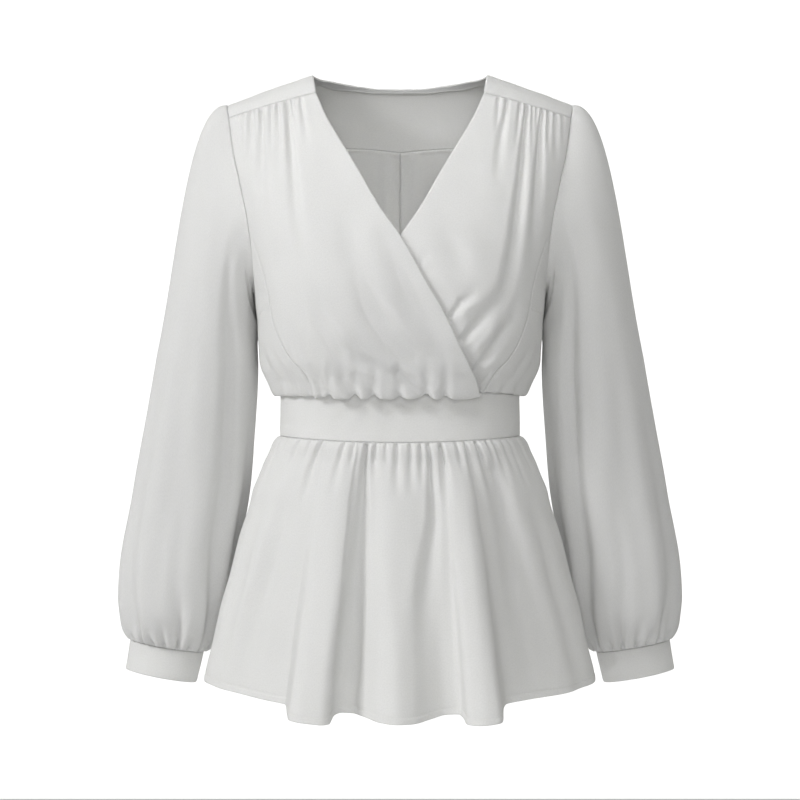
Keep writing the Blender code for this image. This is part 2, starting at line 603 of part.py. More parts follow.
def add_peplum(side_of_body, flutes):
    """Half of the gathered skirt below the waistband, hanging in flutes."""
    gathers = PEPLUM_GATHERS[side_of_body]
    angles, gathered = peplum_lines(gathers, flutes)
    angle, down = np.meshgrid(angles, np.array(PEPLUM_ROWS))
    drop = flute_shape(angle, flutes, "drop")
    middle = PEPLUM_HEM_MIDDLE[side_of_body]
    hem = PEPLUM_HEM_SIDE + (middle - PEPLUM_HEM_SIDE) * np.cos(np.radians(angle)) ** 2 - drop
    top = waistband_bottom(angle, side_of_body) - SEAM_GAP / MM
    height = top + (hem - top) * down
    spread = PEPLUM_HALF_WIDTH(WAISTBAND_BOTTOM_SIDE + (PEPLUM_HEM_SIDE - WAISTBAND_BOTTOM_SIDE) * down)
    turn = np.radians(np.clip(angle, -90 + SEAM_ANGLE, 90 - SEAM_ANGLE))
    depth = WAIST_DEPTH[side_of_body] + (PEPLUM_HEM_DEPTH[side_of_body] - WAIST_DEPTH[side_of_body]) * down
    forward = depth * np.cos(turn) * (1 + WAIST_FULLNESS[side_of_body] * np.sin(turn) ** 2)
    forward += np.sign(depth) * flute_shape(angle, flutes, "depth") * down**FLUTE_GROWTH
    points = np.stack([spread * np.sin(turn), forward, height], axis=-1)

    line = np.interp(angle, gathered, np.arange(len(gathered)))
    fade = np.minimum(1.0, np.minimum(line, len(gathered) - 1 - line) / 2)
    wave = -np.cos(np.pi * line) * (1 + 0.3 * np.sin(line * 1.7)) * fade
    relief = curves(PEPLUM_GATHER_COLUMNS, PEPLUM_GATHER_HEIGHTS)["height"](down) * wave
    inside = np.array([0.0, 0.0, WAISTBAND_TOP])
    points = points + wall_offsets(points, inside, tube=False) * relief[..., None]
    add_cloth("peplum_" + side_of_body, points, CLOTH, IVORY_CREPE, inside)


def armhole_places(around):
    """The angle and level of places around the wearer's right armhole.

    around runs from 0 at the shoulder, by the front, to 0.5 under the arm, and back up to 1.
    """
    levels = np.linspace(0, UNDERARM_LEVEL, 200)
    found = np.zeros_like(around)
    for half, side in ((around <= 0.5, 1.0), (around > 0.5, -1.0)):
        loop = body_point(-ARMHOLE_ANGLE(levels), side * levels)
        lengths = np.concatenate([[0.0], np.cumsum(np.linalg.norm(np.diff(loop, axis=0), axis=1))])
        share = 2 * np.minimum(around, 1 - around)
        found = np.where(half, side * np.interp(share, lengths / lengths[-1], levels), found)
    return -ARMHOLE_ANGLE(np.abs(found)), found


def sleeve_ring(around, along):
    """A point on the sleeve below the cap, on an ellipse that tilts with the arm."""
    read = {name: SLEEVE_CURVES[name](along) for name in SLEEVE_COLUMNS[1:]}
    tilt = np.radians(read["tilt"])
    out = read["half_width"] * np.cos(2 * np.pi * around)
    forward = read["half_depth"] * np.sin(2 * np.pi * around)
    return np.stack([read["across"] - out * np.cos(tilt), read["back"] - forward,
                     read["height"] + out * np.sin(tilt)], axis=-1)


def sleeve_points(around, along):
    """Points on the sleeve, the cap as one bend from each place on the armhole to the first ring."""
    seam = body_point(*armhole_places(around))
    seam[..., 0] -= ARMHOLE_GAP
    ring = sleeve_ring(around, np.full_like(along, CAP_END))
    arm = sleeve_ring(around, np.full_like(along, CAP_END + 0.06)) - ring
    arm /= np.linalg.norm(arm, axis=-1, keepdims=True)
    shoulder = (1 + np.cos(2 * np.pi * around)) / 2
    reach = CAP_REACH_UNDERARM + (CAP_REACH_SHOULDER - CAP_REACH_UNDERARM) * shoulder
    leave = np.stack([-reach, np.zeros_like(reach), CAP_RISE * reach * shoulder], axis=-1)
    arrive = arm * CAP_ARM_SHARE * np.linalg.norm(ring - seam, axis=-1, keepdims=True)
    t = np.clip(along / CAP_END, 0, 1)[..., None]
    cap = ((1 - t) ** 3 * seam + 3 * t * (1 - t) ** 2 * (seam + leave)
           + 3 * t**2 * (1 - t) * (ring - arrive) + t**3 * ring)
    return np.where(along[..., None] < CAP_END, cap, sleeve_ring(around, along))


def sleeve_relief(around, along):
    """The sleeve's long creases."""
    creases = table(SLEEVE_CREASE_COLUMNS, SLEEVE_CREASES)
    relief = np.zeros_like(around)
    for index in range(len(SLEEVE_CREASES)):
        start, end = creases["from_along"][index], creases["to_along"][index]
        share = np.clip((along - start) / (end - start), 0, 1)
        away = (around - creases["around"][index]) / creases["width"][index]
        relief += creases["depth"][index] * np.sin(np.pi * share) * np.exp(-away**2)
    return relief


def add_sleeves():
    """Two long sleeves, full below the elbow and gathered into the cuffs."""
    lines = gather_lines(2 * SLEEVE_GATHERS)
    around, along = np.meshgrid(lines, np.array(SLEEVE_ROWS))
    points = sleeve_points(around, along)
    axis = np.mean(points[:, :-1], axis=1, keepdims=True)
    line = np.arange(len(lines))
    wave = -np.cos(np.pi * line) * (1 + 0.25 * np.sin(np.pi * line / SLEEVE_GATHERS * 3))
    relief = curves(SLEEVE_GATHER_COLUMNS, SLEEVE_GATHER_HEIGHTS)["height"](along) * wave[None, :]
    relief += sleeve_relief(around, along)
    points = points + wall_offsets(points, axis, tube=True) * relief[..., None]
    rim = wall_offsets(points, axis, tube=True)[0] + body_normal(*armhole_places(lines))
    rim /= np.linalg.norm(rim, axis=-1, keepdims=True)
    add_cloth("sleeve_right", points, CLOTH, IVORY_CREPE, axis, tube=True, rim=rim)
    mirror = np.array([-1.0, 1.0, 1.0])
    add_cloth("sleeve_left", points * mirror, CLOTH, IVORY_CREPE, axis * mirror, tube=True, rim=rim * mirror)


def add_cuffs():
    """Two plain buttonless cuffs below the sleeves' gathers."""
    end = {name: SLEEVE_CURVES[name](1.0) for name in SLEEVE_COLUMNS[1:]}
    around, down = np.meshgrid(np.linspace(0, 1, CUFF_LINES + 1), np.array([0.0, 0.5, 1.0]))
    half_width, half_depth, tilt = (top + (bottom - top) * down for top, bottom in zip(CUFF_TOP, CUFF_BOTTOM))
    tilt = np.radians(tilt)
    out = half_width * np.cos(2 * np.pi * around)
    forward = half_depth * np.sin(2 * np.pi * around)
    below = SEAM_GAP / MM + CUFF_DEPTH * down
    across = end["across"] - below * np.sin(tilt) - out * np.cos(tilt)
    height = end["height"] - below * np.cos(tilt) + out * np.sin(tilt)
    points = np.stack([across, end["back"] - forward, height], axis=-1)
    axis = np.mean(points[:, :-1], axis=1, keepdims=True)
    add_cloth("cuff_right", points, DOUBLED_CLOTH, IVORY_BAND, axis, tube=True)
    add_cloth("cuff_left", mirrored(points), DOUBLED_CLOTH, IVORY_BAND, mirrored(axis), tube=True)


def clear_scene():
    """Remove what the file opens with."""
    for item in list(bpy.data.objects):
        bpy.data.objects.remove(item, do_unlink=True)


clear_scene()
add_yoke()
add_fronts()
add_side_panels()
add_backs()
add_waistbands()
add_peplum("front", FRONT_FLUTES)
add_peplum("back", BACK_FLUTES)
add_sleeves()
add_cuffs()
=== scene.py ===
"""The looks of a crossed-front peplum top in off-white crepe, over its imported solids.

Metres in the meshes, millimetres and degrees in the tables. +Z is up, the front faces -Y and
the wearer's left is +X. The blouse keeps the hollow form that it has on a wearer.
"""

import bmesh
import bpy
import numpy as np
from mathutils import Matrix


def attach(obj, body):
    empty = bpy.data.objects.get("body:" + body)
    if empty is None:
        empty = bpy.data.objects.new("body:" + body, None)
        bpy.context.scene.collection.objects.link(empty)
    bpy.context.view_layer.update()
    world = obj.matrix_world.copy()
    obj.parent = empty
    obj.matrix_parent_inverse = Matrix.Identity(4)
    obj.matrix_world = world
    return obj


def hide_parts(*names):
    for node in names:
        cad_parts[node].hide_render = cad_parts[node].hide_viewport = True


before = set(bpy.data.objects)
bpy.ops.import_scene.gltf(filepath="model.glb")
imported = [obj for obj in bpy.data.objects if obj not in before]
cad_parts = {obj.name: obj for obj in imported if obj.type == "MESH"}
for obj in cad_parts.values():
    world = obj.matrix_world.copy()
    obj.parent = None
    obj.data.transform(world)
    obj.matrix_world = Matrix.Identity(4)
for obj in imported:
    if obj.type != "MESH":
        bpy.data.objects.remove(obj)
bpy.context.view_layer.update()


# Yoke
# One smooth piece of crepe over both shoulders and the upper back, with its neck edge turned
# and bound. The fronts are gathered into its two front seams, the backs into its back seam.

MM = 0.001
CREPE_WALL = 1.1 * MM
SEAM_DIP = 0.5
SEAM_REACH = 2.2

BODY_LEVELS = (
    # level, height, shoulder fall, half width, depth, fullness
    (-1.00, -320.0, 0, 126.5, 83.0, 0.30),
    (-0.985, -322.5, 0, 131.0, 86.0, 0.30),
    (-0.95, -308.0, 0, 139.0, 89.0, 0.30),
    (-0.88, -286.0, 0, 148.0, 93.0, 0.32),
    (-0.78, -255.0, 0, 151.0, 99.0, 0.35),
    (-0.66, -215.0, 0, 154.0, 102.0, 0.40),
    (-0.56, -175.0, 3, 161.0, 102.0, 0.45),
    (-0.44, -130.0, 8, 173.0, 97.0, 0.50),
    (-0.32, -85.0, 14, 183.0, 86.0, 0.50),
    (-0.20, -28.0, 21, 191.0, 68.0, 0.50),
    (-0.12, 4.0, 25, 196.0, 48.0, 0.50),
    (-0.08, 12.0, 29, 198.0, 33.0, 0.50),
    (-0.04, 16.0, 31.5, 199.0, 16.0, 0.50),
    (0.00, 18.0, 32, 200.0, 0.0, 0.50),
    (0.04, 15.5, 31.5, 199.0, -16.0, 0.50),
    (0.08, 8.5, 29, 198.0, -31.0, 0.50),
    (0.12, -3.0, 25, 196.0, -42.0, 0.50),
    (0.20, -38.0, 21, 191.0, -62.0, 0.50),
    (0.32, -85.0, 14, 183.0, -86.0, 0.50),
    (0.44, -130.0, 8, 173.0, -106.0, 0.50),
    (0.56, -175.0, 3, 161.0, -122.0, 0.50),
    (0.66, -215.0, 0, 154.0, -129.0, 0.50),
    (0.78, -255.0, 0, 151.0, -128.0, 0.45),
    (0.88, -286.0, 0, 148.0, -122.0, 0.40),
    (0.95, -308.0, 0, 139.0, -113.0, 0.35),
    (0.985, -322.5, 0, 131.0, -106.0, 0.33),
    (1.00, -320.0, 0, 126.5, -98.5, 0.33),
)
NECK_POINT = 92.0
SHOULDER_POINT = 182.0
SHOULDER_ROUNDING = 60.0
ARMHOLE = (
    # level, angle
    (0.00, 65.5), (0.13, 67.0), (0.24, 67.1), (0.33, 66.3), (0.42, 66.5), (0.50, 69.5),
    (0.56, 73.5), (0.61, 78.0), (0.64, 82.5), (0.655, 86.5), (0.66, 90.0), (1.00, 90.0),
)
YOKE_EDGES = (
    # along, neck angle, neck level, outer angle, outer level
    (0.00, 26.6, 0.130, 67.0, 0.13),
    (0.12, 27.2, 0.060, 66.2, 0.06),
    (0.22, 27.4, 0.000, 65.5, 0.00),
    (0.34, 25.8, -0.050, 66.4, -0.08),
    (0.46, 22.0, -0.085, 67.0, -0.16),
    (0.56, 18.0, -0.108, 67.1, -0.23),
    (0.68, 13.0, -0.127, 49.0, -0.239),
    (0.84, 6.5, -0.142, 25.0, -0.256),
    (1.00, 0.0, -0.146, 0.0, -0.28),
)
YOKE_CORNER = 0.56
YOKE_CREASES = (
    # around and across the yoke in mm, half-widths, depths
    (((-262, 30), (-240, 52)), (5, 9), (0.7, 0.0)),
    (((-248, 84), (-225, 60)), (6, 10), (0.8, 0.0)),
    (((262, 36), (238, 54)), (5, 9), (0.8, 0.0)),
    (((250, 80), (222, 62)), (6, 10), (0.6, 0.0)),
    (((-60, 30), (-75, 100)), (14, 20), (0.0, 0.8, 0.0)),
    (((34, 24), (52, 110)), (14, 20), (0.0, 0.8, 0.0)),
)
INSIDE_BODY = np.array([0.0, 0.0, -200.0])


def curve(rows, column):
    """Read one column of a table along its first, as a smooth curve that never overshoots."""
    stations = np.array([row[0] for row in rows], float)
    values = np.array([row[column] for row in rows], float)
    order = np.argsort(stations)
    stations, values = stations[order], values[order]
    steps = np.diff(stations)
    slopes = np.diff(values) / steps
    before, after = slopes[:-1], slopes[1:]
    weight_before = 2 * steps[1:] + steps[:-1]
    weight_after = steps[1:] + 2 * steps[:-1]
    rising = before * after > 0
    mean = np.where(rising, weight_before * after + weight_after * before, 1.0)
    middle = np.where(rising, (weight_before + weight_after) * before * after / mean, 0.0)
    tangents = np.concatenate([slopes[:1], middle, slopes[-1:]])

    def read(at):
        at = np.clip(at, stations[0], stations[-1])
        left = np.clip(np.searchsorted(stations, at, side="right") - 1, 0, len(steps) - 1)
        t = (at - stations[left]) / steps[left]
        rise = values[left + 1] - values[left]
        lead = steps[left] * tangents[left]
        trail = steps[left] * tangents[left + 1]
        bend = t**2 * (3 * rise - 2 * lead - trail) + t**3 * (lead + trail - 2 * rise)
        return values[left] + t * lead + bend

    return read


def ease(t):
    """A smooth step from 0 to 1."""
    t = np.clip(t, 0.0, 1.0)
    return t * t * (3 - 2 * t)


BODY_HEIGHT, SHOULDER_FALL, HALF_WIDTH, BODY_DEPTH, FULLNESS = (curve(BODY_LEVELS, i) for i in range(1, 6))
ARMHOLE_ANGLE = curve(ARMHOLE, 1)
NECK_ANGLE, NECK_LEVEL, OUTER_ANGLE, OUTER_LEVEL = (curve(YOKE_EDGES, i) for i in range(1, 5))
BACK_SEAM_LEVEL = curve([(row[3], row[4]) for row in YOKE_EDGES if row[0] >= YOKE_CORNER], 1)


def body_place(angle, level):
    """A place on the body's smooth form. The level is -1 at the back waist and 1 at the front."""
    turn = np.radians(angle)
    across = HALF_WIDTH(level) * np.sin(turn)
    forward = BODY_DEPTH(level) * np.cos(turn) * (1 + FULLNESS(level) * np.sin(turn) ** 2)
    reach = [np.hypot(place, SHOULDER_ROUNDING) for place in (across, NECK_POINT, SHOULDER_POINT)]
    fall = SHOULDER_FALL(level) * (reach[0] - reach[1]) / (reach[2] - reach[1])
    return np.stack([across, forward, BODY_HEIGHT(level) - fall], axis=-1)


def way_out(places, inside, tube=False):
    """The way out of the cloth at each place of a piece."""
    if tube:
        wrapped = np.concatenate([places[:, -2:-1], places, places[:, 1:2]], axis=1)
        across = np.gradient(wrapped, axis=1)[:, 1:-1]
    else:
        across = np.gradient(places, axis=1)
    out = np.cross(across, np.gradient(places, axis=0))
    out /= np.maximum(np.linalg.norm(out, axis=-1, keepdims=True), 1e-9)
    return out * np.sign(np.sum(out * (places - inside)))


def cloth_lengths(places):
    """How far each place is along its row and down its column, in millimetres of cloth."""
    across = np.linalg.norm(np.diff(places, axis=1), axis=-1)
    down = np.linalg.norm(np.diff(places, axis=0), axis=-1)
    along_rows = np.pad(np.cumsum(across, axis=1), ((0, 0), (1, 0)))
    down_columns = np.pad(np.cumsum(down, axis=0), ((1, 0), (0, 0)))
    return along_rows, down_columns


def creased(across, down, creases):
    """The relief of the listed creases, each a trough between two low banks."""
    relief = np.zeros(np.broadcast(across, down).shape)
    for path, widths, depths in creases:
        path = np.array(path, float)
        travelled = np.concatenate([[0.0], np.cumsum(np.linalg.norm(np.diff(path, axis=0), axis=1))])
        nearest = np.full(relief.shape, np.inf)
        here = np.zeros(relief.shape)
        for start, end, done, next_done in zip(path[:-1], path[1:], travelled[:-1], travelled[1:]):
            way = end - start
            t = np.clip(((across - start[0]) * way[0] + (down - start[1]) * way[1]) / (way @ way), 0, 1)
            away = (across - start[0] - t * way[0]) ** 2 + (down - start[1] - t * way[1]) ** 2
            here = np.where(away < nearest, (done + t * (next_done - done)) / travelled[-1], here)
            nearest = np.minimum(away, nearest)
        width = widths[0] + (widths[1] - widths[0]) * here
        depth = np.interp(here, np.linspace(0, 1, len(depths)), depths)
        reach = nearest / width**2
        relief -= depth * (1 - 0.8 * reach) * np.exp(-reach)
    return relief


def soft_wander(across, down):
    """The faint unevenness of cloth that hangs free, half a millimetre deep at most."""
    return (0.22 * np.sin(across / 17 + np.sin(down / 41)) * np.sin(down / 57 + 1)
            + 0.16 * np.sin(across / 9.3 + down / 33 + 2) + 0.10 * np.sin(across / 6.1 - down / 24))


def seam_dip(distance):
    """How far the cloth sinks as it nears a seam."""
    return -SEAM_DIP * (1 - ease(distance / SEAM_REACH))


def clear_of(distance, reach):
    """From 0 on a seam to 1 where its hold on the cloth has ended."""
    return ease(distance / reach)


def sew(name, places, inside, wall, finish, tube=False):
    """Make one piece of cloth from the places on its outer face, with its own cloth coordinates in metres."""
    across = np.gradient(places, axis=1)
    out = np.cross(across, np.gradient(places, axis=0))
    if np.sum(out * (places - inside)) < 0:
        places = places[:, ::-1]
    rows, columns = places.shape[:2]
    grid = bmesh.new()
    bmesh.ops.create_grid(grid, x_segments=columns - 1, y_segments=rows - 1, size=0.5)
    mesh = bpy.data.meshes.new(name)
    grid.to_mesh(mesh)
    grid.free()

    start = np.empty(len(mesh.vertices) * 3, dtype=np.float32)
    mesh.vertices.foreach_get("co", start)
    start = start.reshape(-1, 3)
    column = np.rint((start[:, 0] + 0.5) * (columns - 1)).astype(int)
    row = np.rint((start[:, 1] + 0.5) * (rows - 1)).astype(int)
    mesh.vertices.foreach_set("co", (places[row, column] * MM).astype(np.float32).ravel())
    u, v = cloth_lengths(places)
    u = u - u[:, columns // 2][:, None]
    corner = np.empty(len(mesh.loops), dtype=np.int32)
    mesh.loops.foreach_get("vertex_index", corner)
    cloth = np.stack([u[row, column], v[row, column]], axis=-1)[corner] * MM
    mesh.uv_layers.new(name="cloth").data.foreach_set("uv", cloth.astype(np.float32).ravel())

    if tube:
        shell = bmesh.new()
        shell.from_mesh(mesh)
        bmesh.ops.remove_doubles(shell, verts=shell.verts[:], dist=1e-6)
        shell.to_mesh(mesh)
        shell.free()
    mesh.shade_smooth()
    mesh.materials.append(finish)
    piece = bpy.data.objects.new(name, mesh)
    bpy.context.scene.collection.objects.link(piece)
    thickness = piece.modifiers.new("wall", "SOLIDIFY")
    thickness.thickness = wall
    thickness.offset = -1.0
    thickness.use_quality_normals = True
    return piece


def cloth_finish(name, colour, shade, roughness, grain_depth, fold_tone):
    """A woven finish: a fine pebbled crepe grain over a plain weave, with a faint drift of tone."""
    finish = bpy.data.materials.new(name)
    finish.use_nodes = True
    nodes, links = finish.node_tree.nodes, finish.node_tree.links
    shader = nodes["Principled BSDF"]
    shader.inputs["Roughness"].default_value = roughness
    shader.inputs["Specular IOR Level"].default_value = 0.25
    shader.inputs["Sheen Weight"].default_value = 0.12
    shader.inputs["Sheen Roughness"].default_value = 0.55
    shader.inputs["Subsurface Weight"].default_value = 0.35
    shader.inputs["Subsurface Radius"].default_value = (1.0, 1.0, 0.9)
    shader.inputs["Subsurface Scale"].default_value = 0.004

    cloth = nodes.new("ShaderNodeUVMap")
    cloth.uv_map = "cloth"
    pebble = nodes.new("ShaderNodeTexNoise")
    pebble.inputs["Scale"].default_value = 620.0
    pebble.inputs["Detail"].default_value = 3.0
    pebble.inputs["Roughness"].default_value = 0.6
    warp = nodes.new("ShaderNodeTexWave")
    warp.bands_direction = "X"
    warp.inputs["Scale"].default_value = 620.0
    warp.inputs["Distortion"].default_value = 1.6
    warp.inputs["Detail"].default_value = 1.0
    weft = nodes.new("ShaderNodeTexWave")
    weft.bands_direction = "Y"
    weft.inputs["Scale"].default_value = 560.0
    weft.inputs["Distortion"].default_value = 1.6
    weft.inputs["Detail"].default_value = 1.0
    weave = nodes.new("ShaderNodeMix")
    weave.inputs["Factor"].default_value = 0.5
    grain = nodes.new("ShaderNodeMix")
    grain.inputs["Factor"].default_value = 0.62
    bump = nodes.new("ShaderNodeBump")
    bump.inputs["Strength"].default_value = 0.55
    bump.inputs["Distance"].default_value = grain_depth
    for texture in (pebble, warp, weft):
        links.new(cloth.outputs["UV"], texture.inputs["Vector"])
    links.new(warp.outputs["Fac"], weave.inputs["A"])
    links.new(weft.outputs["Fac"], weave.inputs["B"])
    links.new(weave.outputs["Result"], grain.inputs["A"])
    links.new(pebble.outputs["Fac"], grain.inputs["B"])
    links.new(grain.outputs["Result"], bump.inputs["Height"])
    links.new(bump.outputs["Normal"], shader.inputs["Normal"])

    drift = nodes.new("ShaderNodeTexNoise")
    drift.inputs["Scale"].default_value = 26.0
    drift.inputs["Detail"].default_value = 4.0
    links.new(cloth.outputs["UV"], drift.inputs["Vector"])
    drift_tone = nodes.new("ShaderNodeMix")
    drift_tone.data_type = "RGBA"
    drift_tone.inputs["A"].default_value = colour
    drift_tone.inputs["B"].default_value = shade
    pebble_tone = nodes.new("ShaderNodeMix")
    pebble_tone.data_type = "RGBA"
    pebble_tone.blend_type = "MULTIPLY"
    pebble_tone.inputs["Factor"].default_value = fold_tone
    links.new(drift.outputs["Fac"], drift_tone.inputs["Factor"])
    links.new(drift_tone.outputs["Result"], pebble_tone.inputs["A"])
    links.new(grain.outputs["Result"], pebble_tone.inputs["B"])
    links.new(pebble_tone.outputs["Result"], shader.inputs["Base Color"])
    return finish


CREPE_TONES = ((0.93, 0.93, 0.917, 1), (0.90, 0.90, 0.887, 1))
CREPE = cloth_finish("ivory_crepe", *CREPE_TONES, 0.86, 0.0007, 0.26)


def yoke_places(share, along):
    """Places on the yoke. share runs from neck edge to outer edge, along from seam to seam by the back."""
    station = 1 - np.abs(along)
    outer_level = OUTER_LEVEL(station)
    at_armhole = station <= YOKE_CORNER + 1e-6
    outer_angle = np.where(at_armhole, ARMHOLE_ANGLE(np.abs(outer_level)), OUTER_ANGLE(station))
    outer_level = np.where(at_armhole, outer_level, BACK_SEAM_LEVEL(outer_angle))
    angle = NECK_ANGLE(station) + (outer_angle - NECK_ANGLE(station)) * share
    level = NECK_LEVEL(station) + (outer_level - NECK_LEVEL(station)) * share
    return body_place(np.sign(along) * angle, level)


def yoke_grid(shares):
    """The yoke's form, with a row of places at every share asked for."""
    station = np.concatenate([np.linspace(0, YOKE_CORNER, 66), np.linspace(YOKE_CORNER, 1, 54)[1:]])
    half = 1 - station
    share, along = np.meshgrid(shares, np.concatenate([-half, half[-2::-1]]))
    return yoke_places(share, along), along


yoke_form, yoke_along = yoke_grid(np.linspace(0, 1, 54))
yoke_across, yoke_around = cloth_lengths(yoke_form)
yoke_around = yoke_around - yoke_around[len(yoke_around) // 2]
from_outer = yoke_across[:, -1:] - yoke_across
from_front = np.abs(yoke_around[-1:]) - np.abs(yoke_around)
from_seams = np.minimum(from_outer, from_front)
yoke_relief = creased(yoke_around, yoke_across, YOKE_CREASES) * clear_of(from_seams, 12)
yoke_relief += 0.6 * soft_wander(yoke_around, yoke_across) * clear_of(from_seams, 8)
yoke_relief += seam_dip(from_outer) + 0.5 * seam_dip(from_front) - 0.5 * (1 - ease(yoke_across / 1.6))
yoke_way = way_out(yoke_form, INSIDE_BODY)
yoke = sew("yoke_cloth", yoke_form + yoke_way * yoke_relief[..., None], INSIDE_BODY, CREPE_WALL, CREPE)
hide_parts("yoke")
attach(yoke, "root")


# Neck binding
# A narrow folded strip of the same crepe, sewn flat along the inside of the neck's back edge
# so that the raw edge is hidden, with one row of stitching along its lower side.

BINDING_WALL = 0.9 * MM
BINDING_INSET = 1.5
BINDING_START = 0.22
BINDING_SHARE = 0.075

BAND_TONES = ((0.93, 0.93, 0.917, 1), (0.91, 0.91, 0.897, 1))
BAND_CREPE = cloth_finish("ivory_crepe_band", *BAND_TONES, 0.84, 0.0006, 0.24)

binding_form, binding_along = yoke_grid(np.linspace(0, BINDING_SHARE, 9))
binding_out = way_out(binding_form, INSIDE_BODY)
binding_rows = np.abs(binding_along[:, 0]) <= 1 - BINDING_START + 1e-6
binding_across = cloth_lengths(binding_form)[0]
binding_depth = -BINDING_INSET - 0.35 * np.exp(-((binding_across[:, -1:] - binding_across - 1.4) / 0.7) ** 2)
binding_places = (binding_form + binding_out * binding_depth[..., None])[binding_rows]
binding = sew("neck_binding_cloth", binding_places, INSIDE_BODY, BINDING_WALL, BAND_CREPE)
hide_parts("neck_binding")
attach(binding, "root")


# Fronts
# Two soft crepe fronts, gathered into the yoke's front seams and pulled across each other to
# the far side of the waistband, where they billow a little over it. The wearer's right is on top.

OVER_CROSSING = (
    # level, distance past the centre line
    (0.13, -88.0), (0.185, -78.0), (0.26, -62.0), (0.355, -41.0), (0.45, -20.5), (0.53, 1.0),
    (0.61, 20.0), (0.70, 40.0), (0.83, 60.5), (0.90, 71.0), (1.00, 82.5),
)
UNDER_CROSSING = (
    (0.13, -88.0), (0.185, -78.0), (0.26, -62.0), (0.355, -41.0), (0.45, -20.5), (0.53, 1.0),
    (0.61, 20.0), (0.70, 38.0), (0.83, 52.0), (0.90, 57.0), (1.00, 62.0),
)
PRINCESS_SEAM = (
    (0.49, 155.0), (0.53, 150.5), (0.57, 145.5), (0.655, 136.5), (0.735, 131.6), (0.80, 124.5),
    (0.873, 112.0), (0.92, 98.0), (1.00, 82.6),
)
FRONT_TOP = 0.13
PRINCESS_TOP = 0.49
BILLOW = 0.94
UNDER_TUCK = (
    # level, inward, up
    (0.49, 0.0, 0.0), (0.57, 1.8, 0.0), (0.66, 2.0, 0.0), (0.83, 2.0, 0.0), (0.93, 3.5, 0.0),
    (0.965, 6.0, 0.0), (0.985, 6.0, 4.5), (1.00, 0.0, 0.0),
)
OVER_LIFT = 2.6
OVER_COVER = (66.0, 64.0)
UNDER_COVER = (20.0, 16.0)
OVER_YOKE_GATHERS = (
    # the wearer's right front: across and height in mm, half-widths, depths
    (((-169, -27), (-171.5, -58.2)), (2, 4), (2, 0)),
    (((-164, -26), (-166.5, -73.5)), (2.2, 5), (3, 0)),
    (((-156, -24), (-157.2, -94)), (2.4, 6), (3.8, 0)),
    (((-151, -23), (-149.8, -71.8)), (2.2, 5), (2.8, 0)),
    (((-145, -21), (-143.8, -94.8), (-137.5, -157.2)), (2.6, 9), (5.2, 3, 0)),
    (((-134.8, -19), (-132.6, -82.8)), (2.2, 5), (3.2, 0)),
    (((-127.5, -17.5), (-124.4, -110.6)), (2.4, 7), (4, 0)),
    (((-118, -16), (-110.5, -87.2), (-106.8, -137.2), (-94.2, -202.2)), (2.8, 12), (5.6, 4.8, 2.8, 0)),
    (((-112.9, -15), (-105.5, -73.8)), (2.4, 6), (3.4, 0)),
    (((-102.6, -13.5), (-95.6, -66.6)), (2.4, 6), (3.2, 0)),
)
OVER_FOLDS = (
    (((-52, -190), (-30, -232), (-8, -265), (38, -299)), (13, 15), (0, 3.6, 4.6, 0)),
    (((-25, -150), (8, -215), (34, -262), (48, -300)), (13, 13), (0, 2.6, 2.2, 0)),
    (((-62, -120), (-46, -180), (-24, -232)), (15, 17), (0, 2.4, 0)),
    (((-30, -204), (-4, -240), (16, -278)), (9, 10), (0, -2.2, 0)),
    (((-128, -120), (-122, -190), (-104, -250)), (14, 16), (0, 2.8, 0)),
    (((-92, -222), (-76, -256), (-60, -284), (-46, -312)), (9, 9), (0, 3.2, 3.0, 1)),
    (((-112, -236), (-99, -281), (-82, -312)), (9, 8), (0, 2.8, 1)),
    (((-62, -262), (-44, -284), (2, -306)), (8, 9), (0, 3.2, 0.6)),
    (((-74, -232), (-54, -262), (-30, -286)), (8, 9), (0, -1.6, 0)),
    (((-14, -268), (14, -292), (34, -306)), (8, 8), (0, 2.0, 0.8)),
)
OVER_WAIST_GATHERS = (
    (((-117, -324), (-123, -304)), (3.6, 6), (3.2, 0)),
    (((-99, -324), (-110, -300)), (5, 8), (4.2, 0)),
    (((-80, -324), (-84, -312)), (3, 5), (1.8, 0)),
    (((-71.5, -324), (-82, -308), (-94, -288)), (4.6, 9), (4.6, 3.4, 0)),
    (((-45, -324), (-57, -307), (-70, -284)), (5, 10), (5.4, 4, 0)),
    (((-26, -324), (-37, -307), (-46, -294)), (5, 9), (4.2, 3, 0)),
    (((0, -324), (-7, -312)), (3.6, 6), (2.2, 0)),
    (((27, -324), (9, -308), (-10, -292)), (7, 12), (6.4, 5.4, 0)),
    (((46, -324), (37, -312)), (3.6, 7), (2.6, 0)),
)
UNDER_YOKE_GATHERS = (
    # the wearer's left front, written for its mirror so that both fronts are cut alike
    (((-102.3, -13.5), (-100.7, -59.7)), (2.4, 6), (3.6, 0)),
    (((-111.7, -15), (-102.5, -69), (-98.9, -107.4)), (2.6, 8), (5, 2.5, 0)),
    (((-125.3, -17), (-120.1, -71)), (2.2, 5), (3.6, 0)),
    (((-132.6, -19), (-123.5, -107.8), (-117.5, -163), (-107.9, -217), (-95.9, -272.2)),
     (2.8, 12), (6.3, 5.9, 5.5, 3.8, 0)),
    (((-138.4, -20), (-136.7, -68)), (2, 4), (2.7, 0)),
    (((-143, -21), (-141.8, -63)), (2, 4), (2.7, 0)),
    (((-148.7, -22), (-140.7, -119.2), (-134.7, -197.2)), (2.6, 10), (5.5, 5, 0)),
    (((-155, -23), (-153.8, -74.6)), (2.2, 5), (3.2, 0)),
    (((-162.6, -25), (-161.9, -83.8)), (2.4, 6), (3.6, 0)),
    (((-170, -27), (-171.2, -59.4)), (2, 4), (2.3, 0)),
)
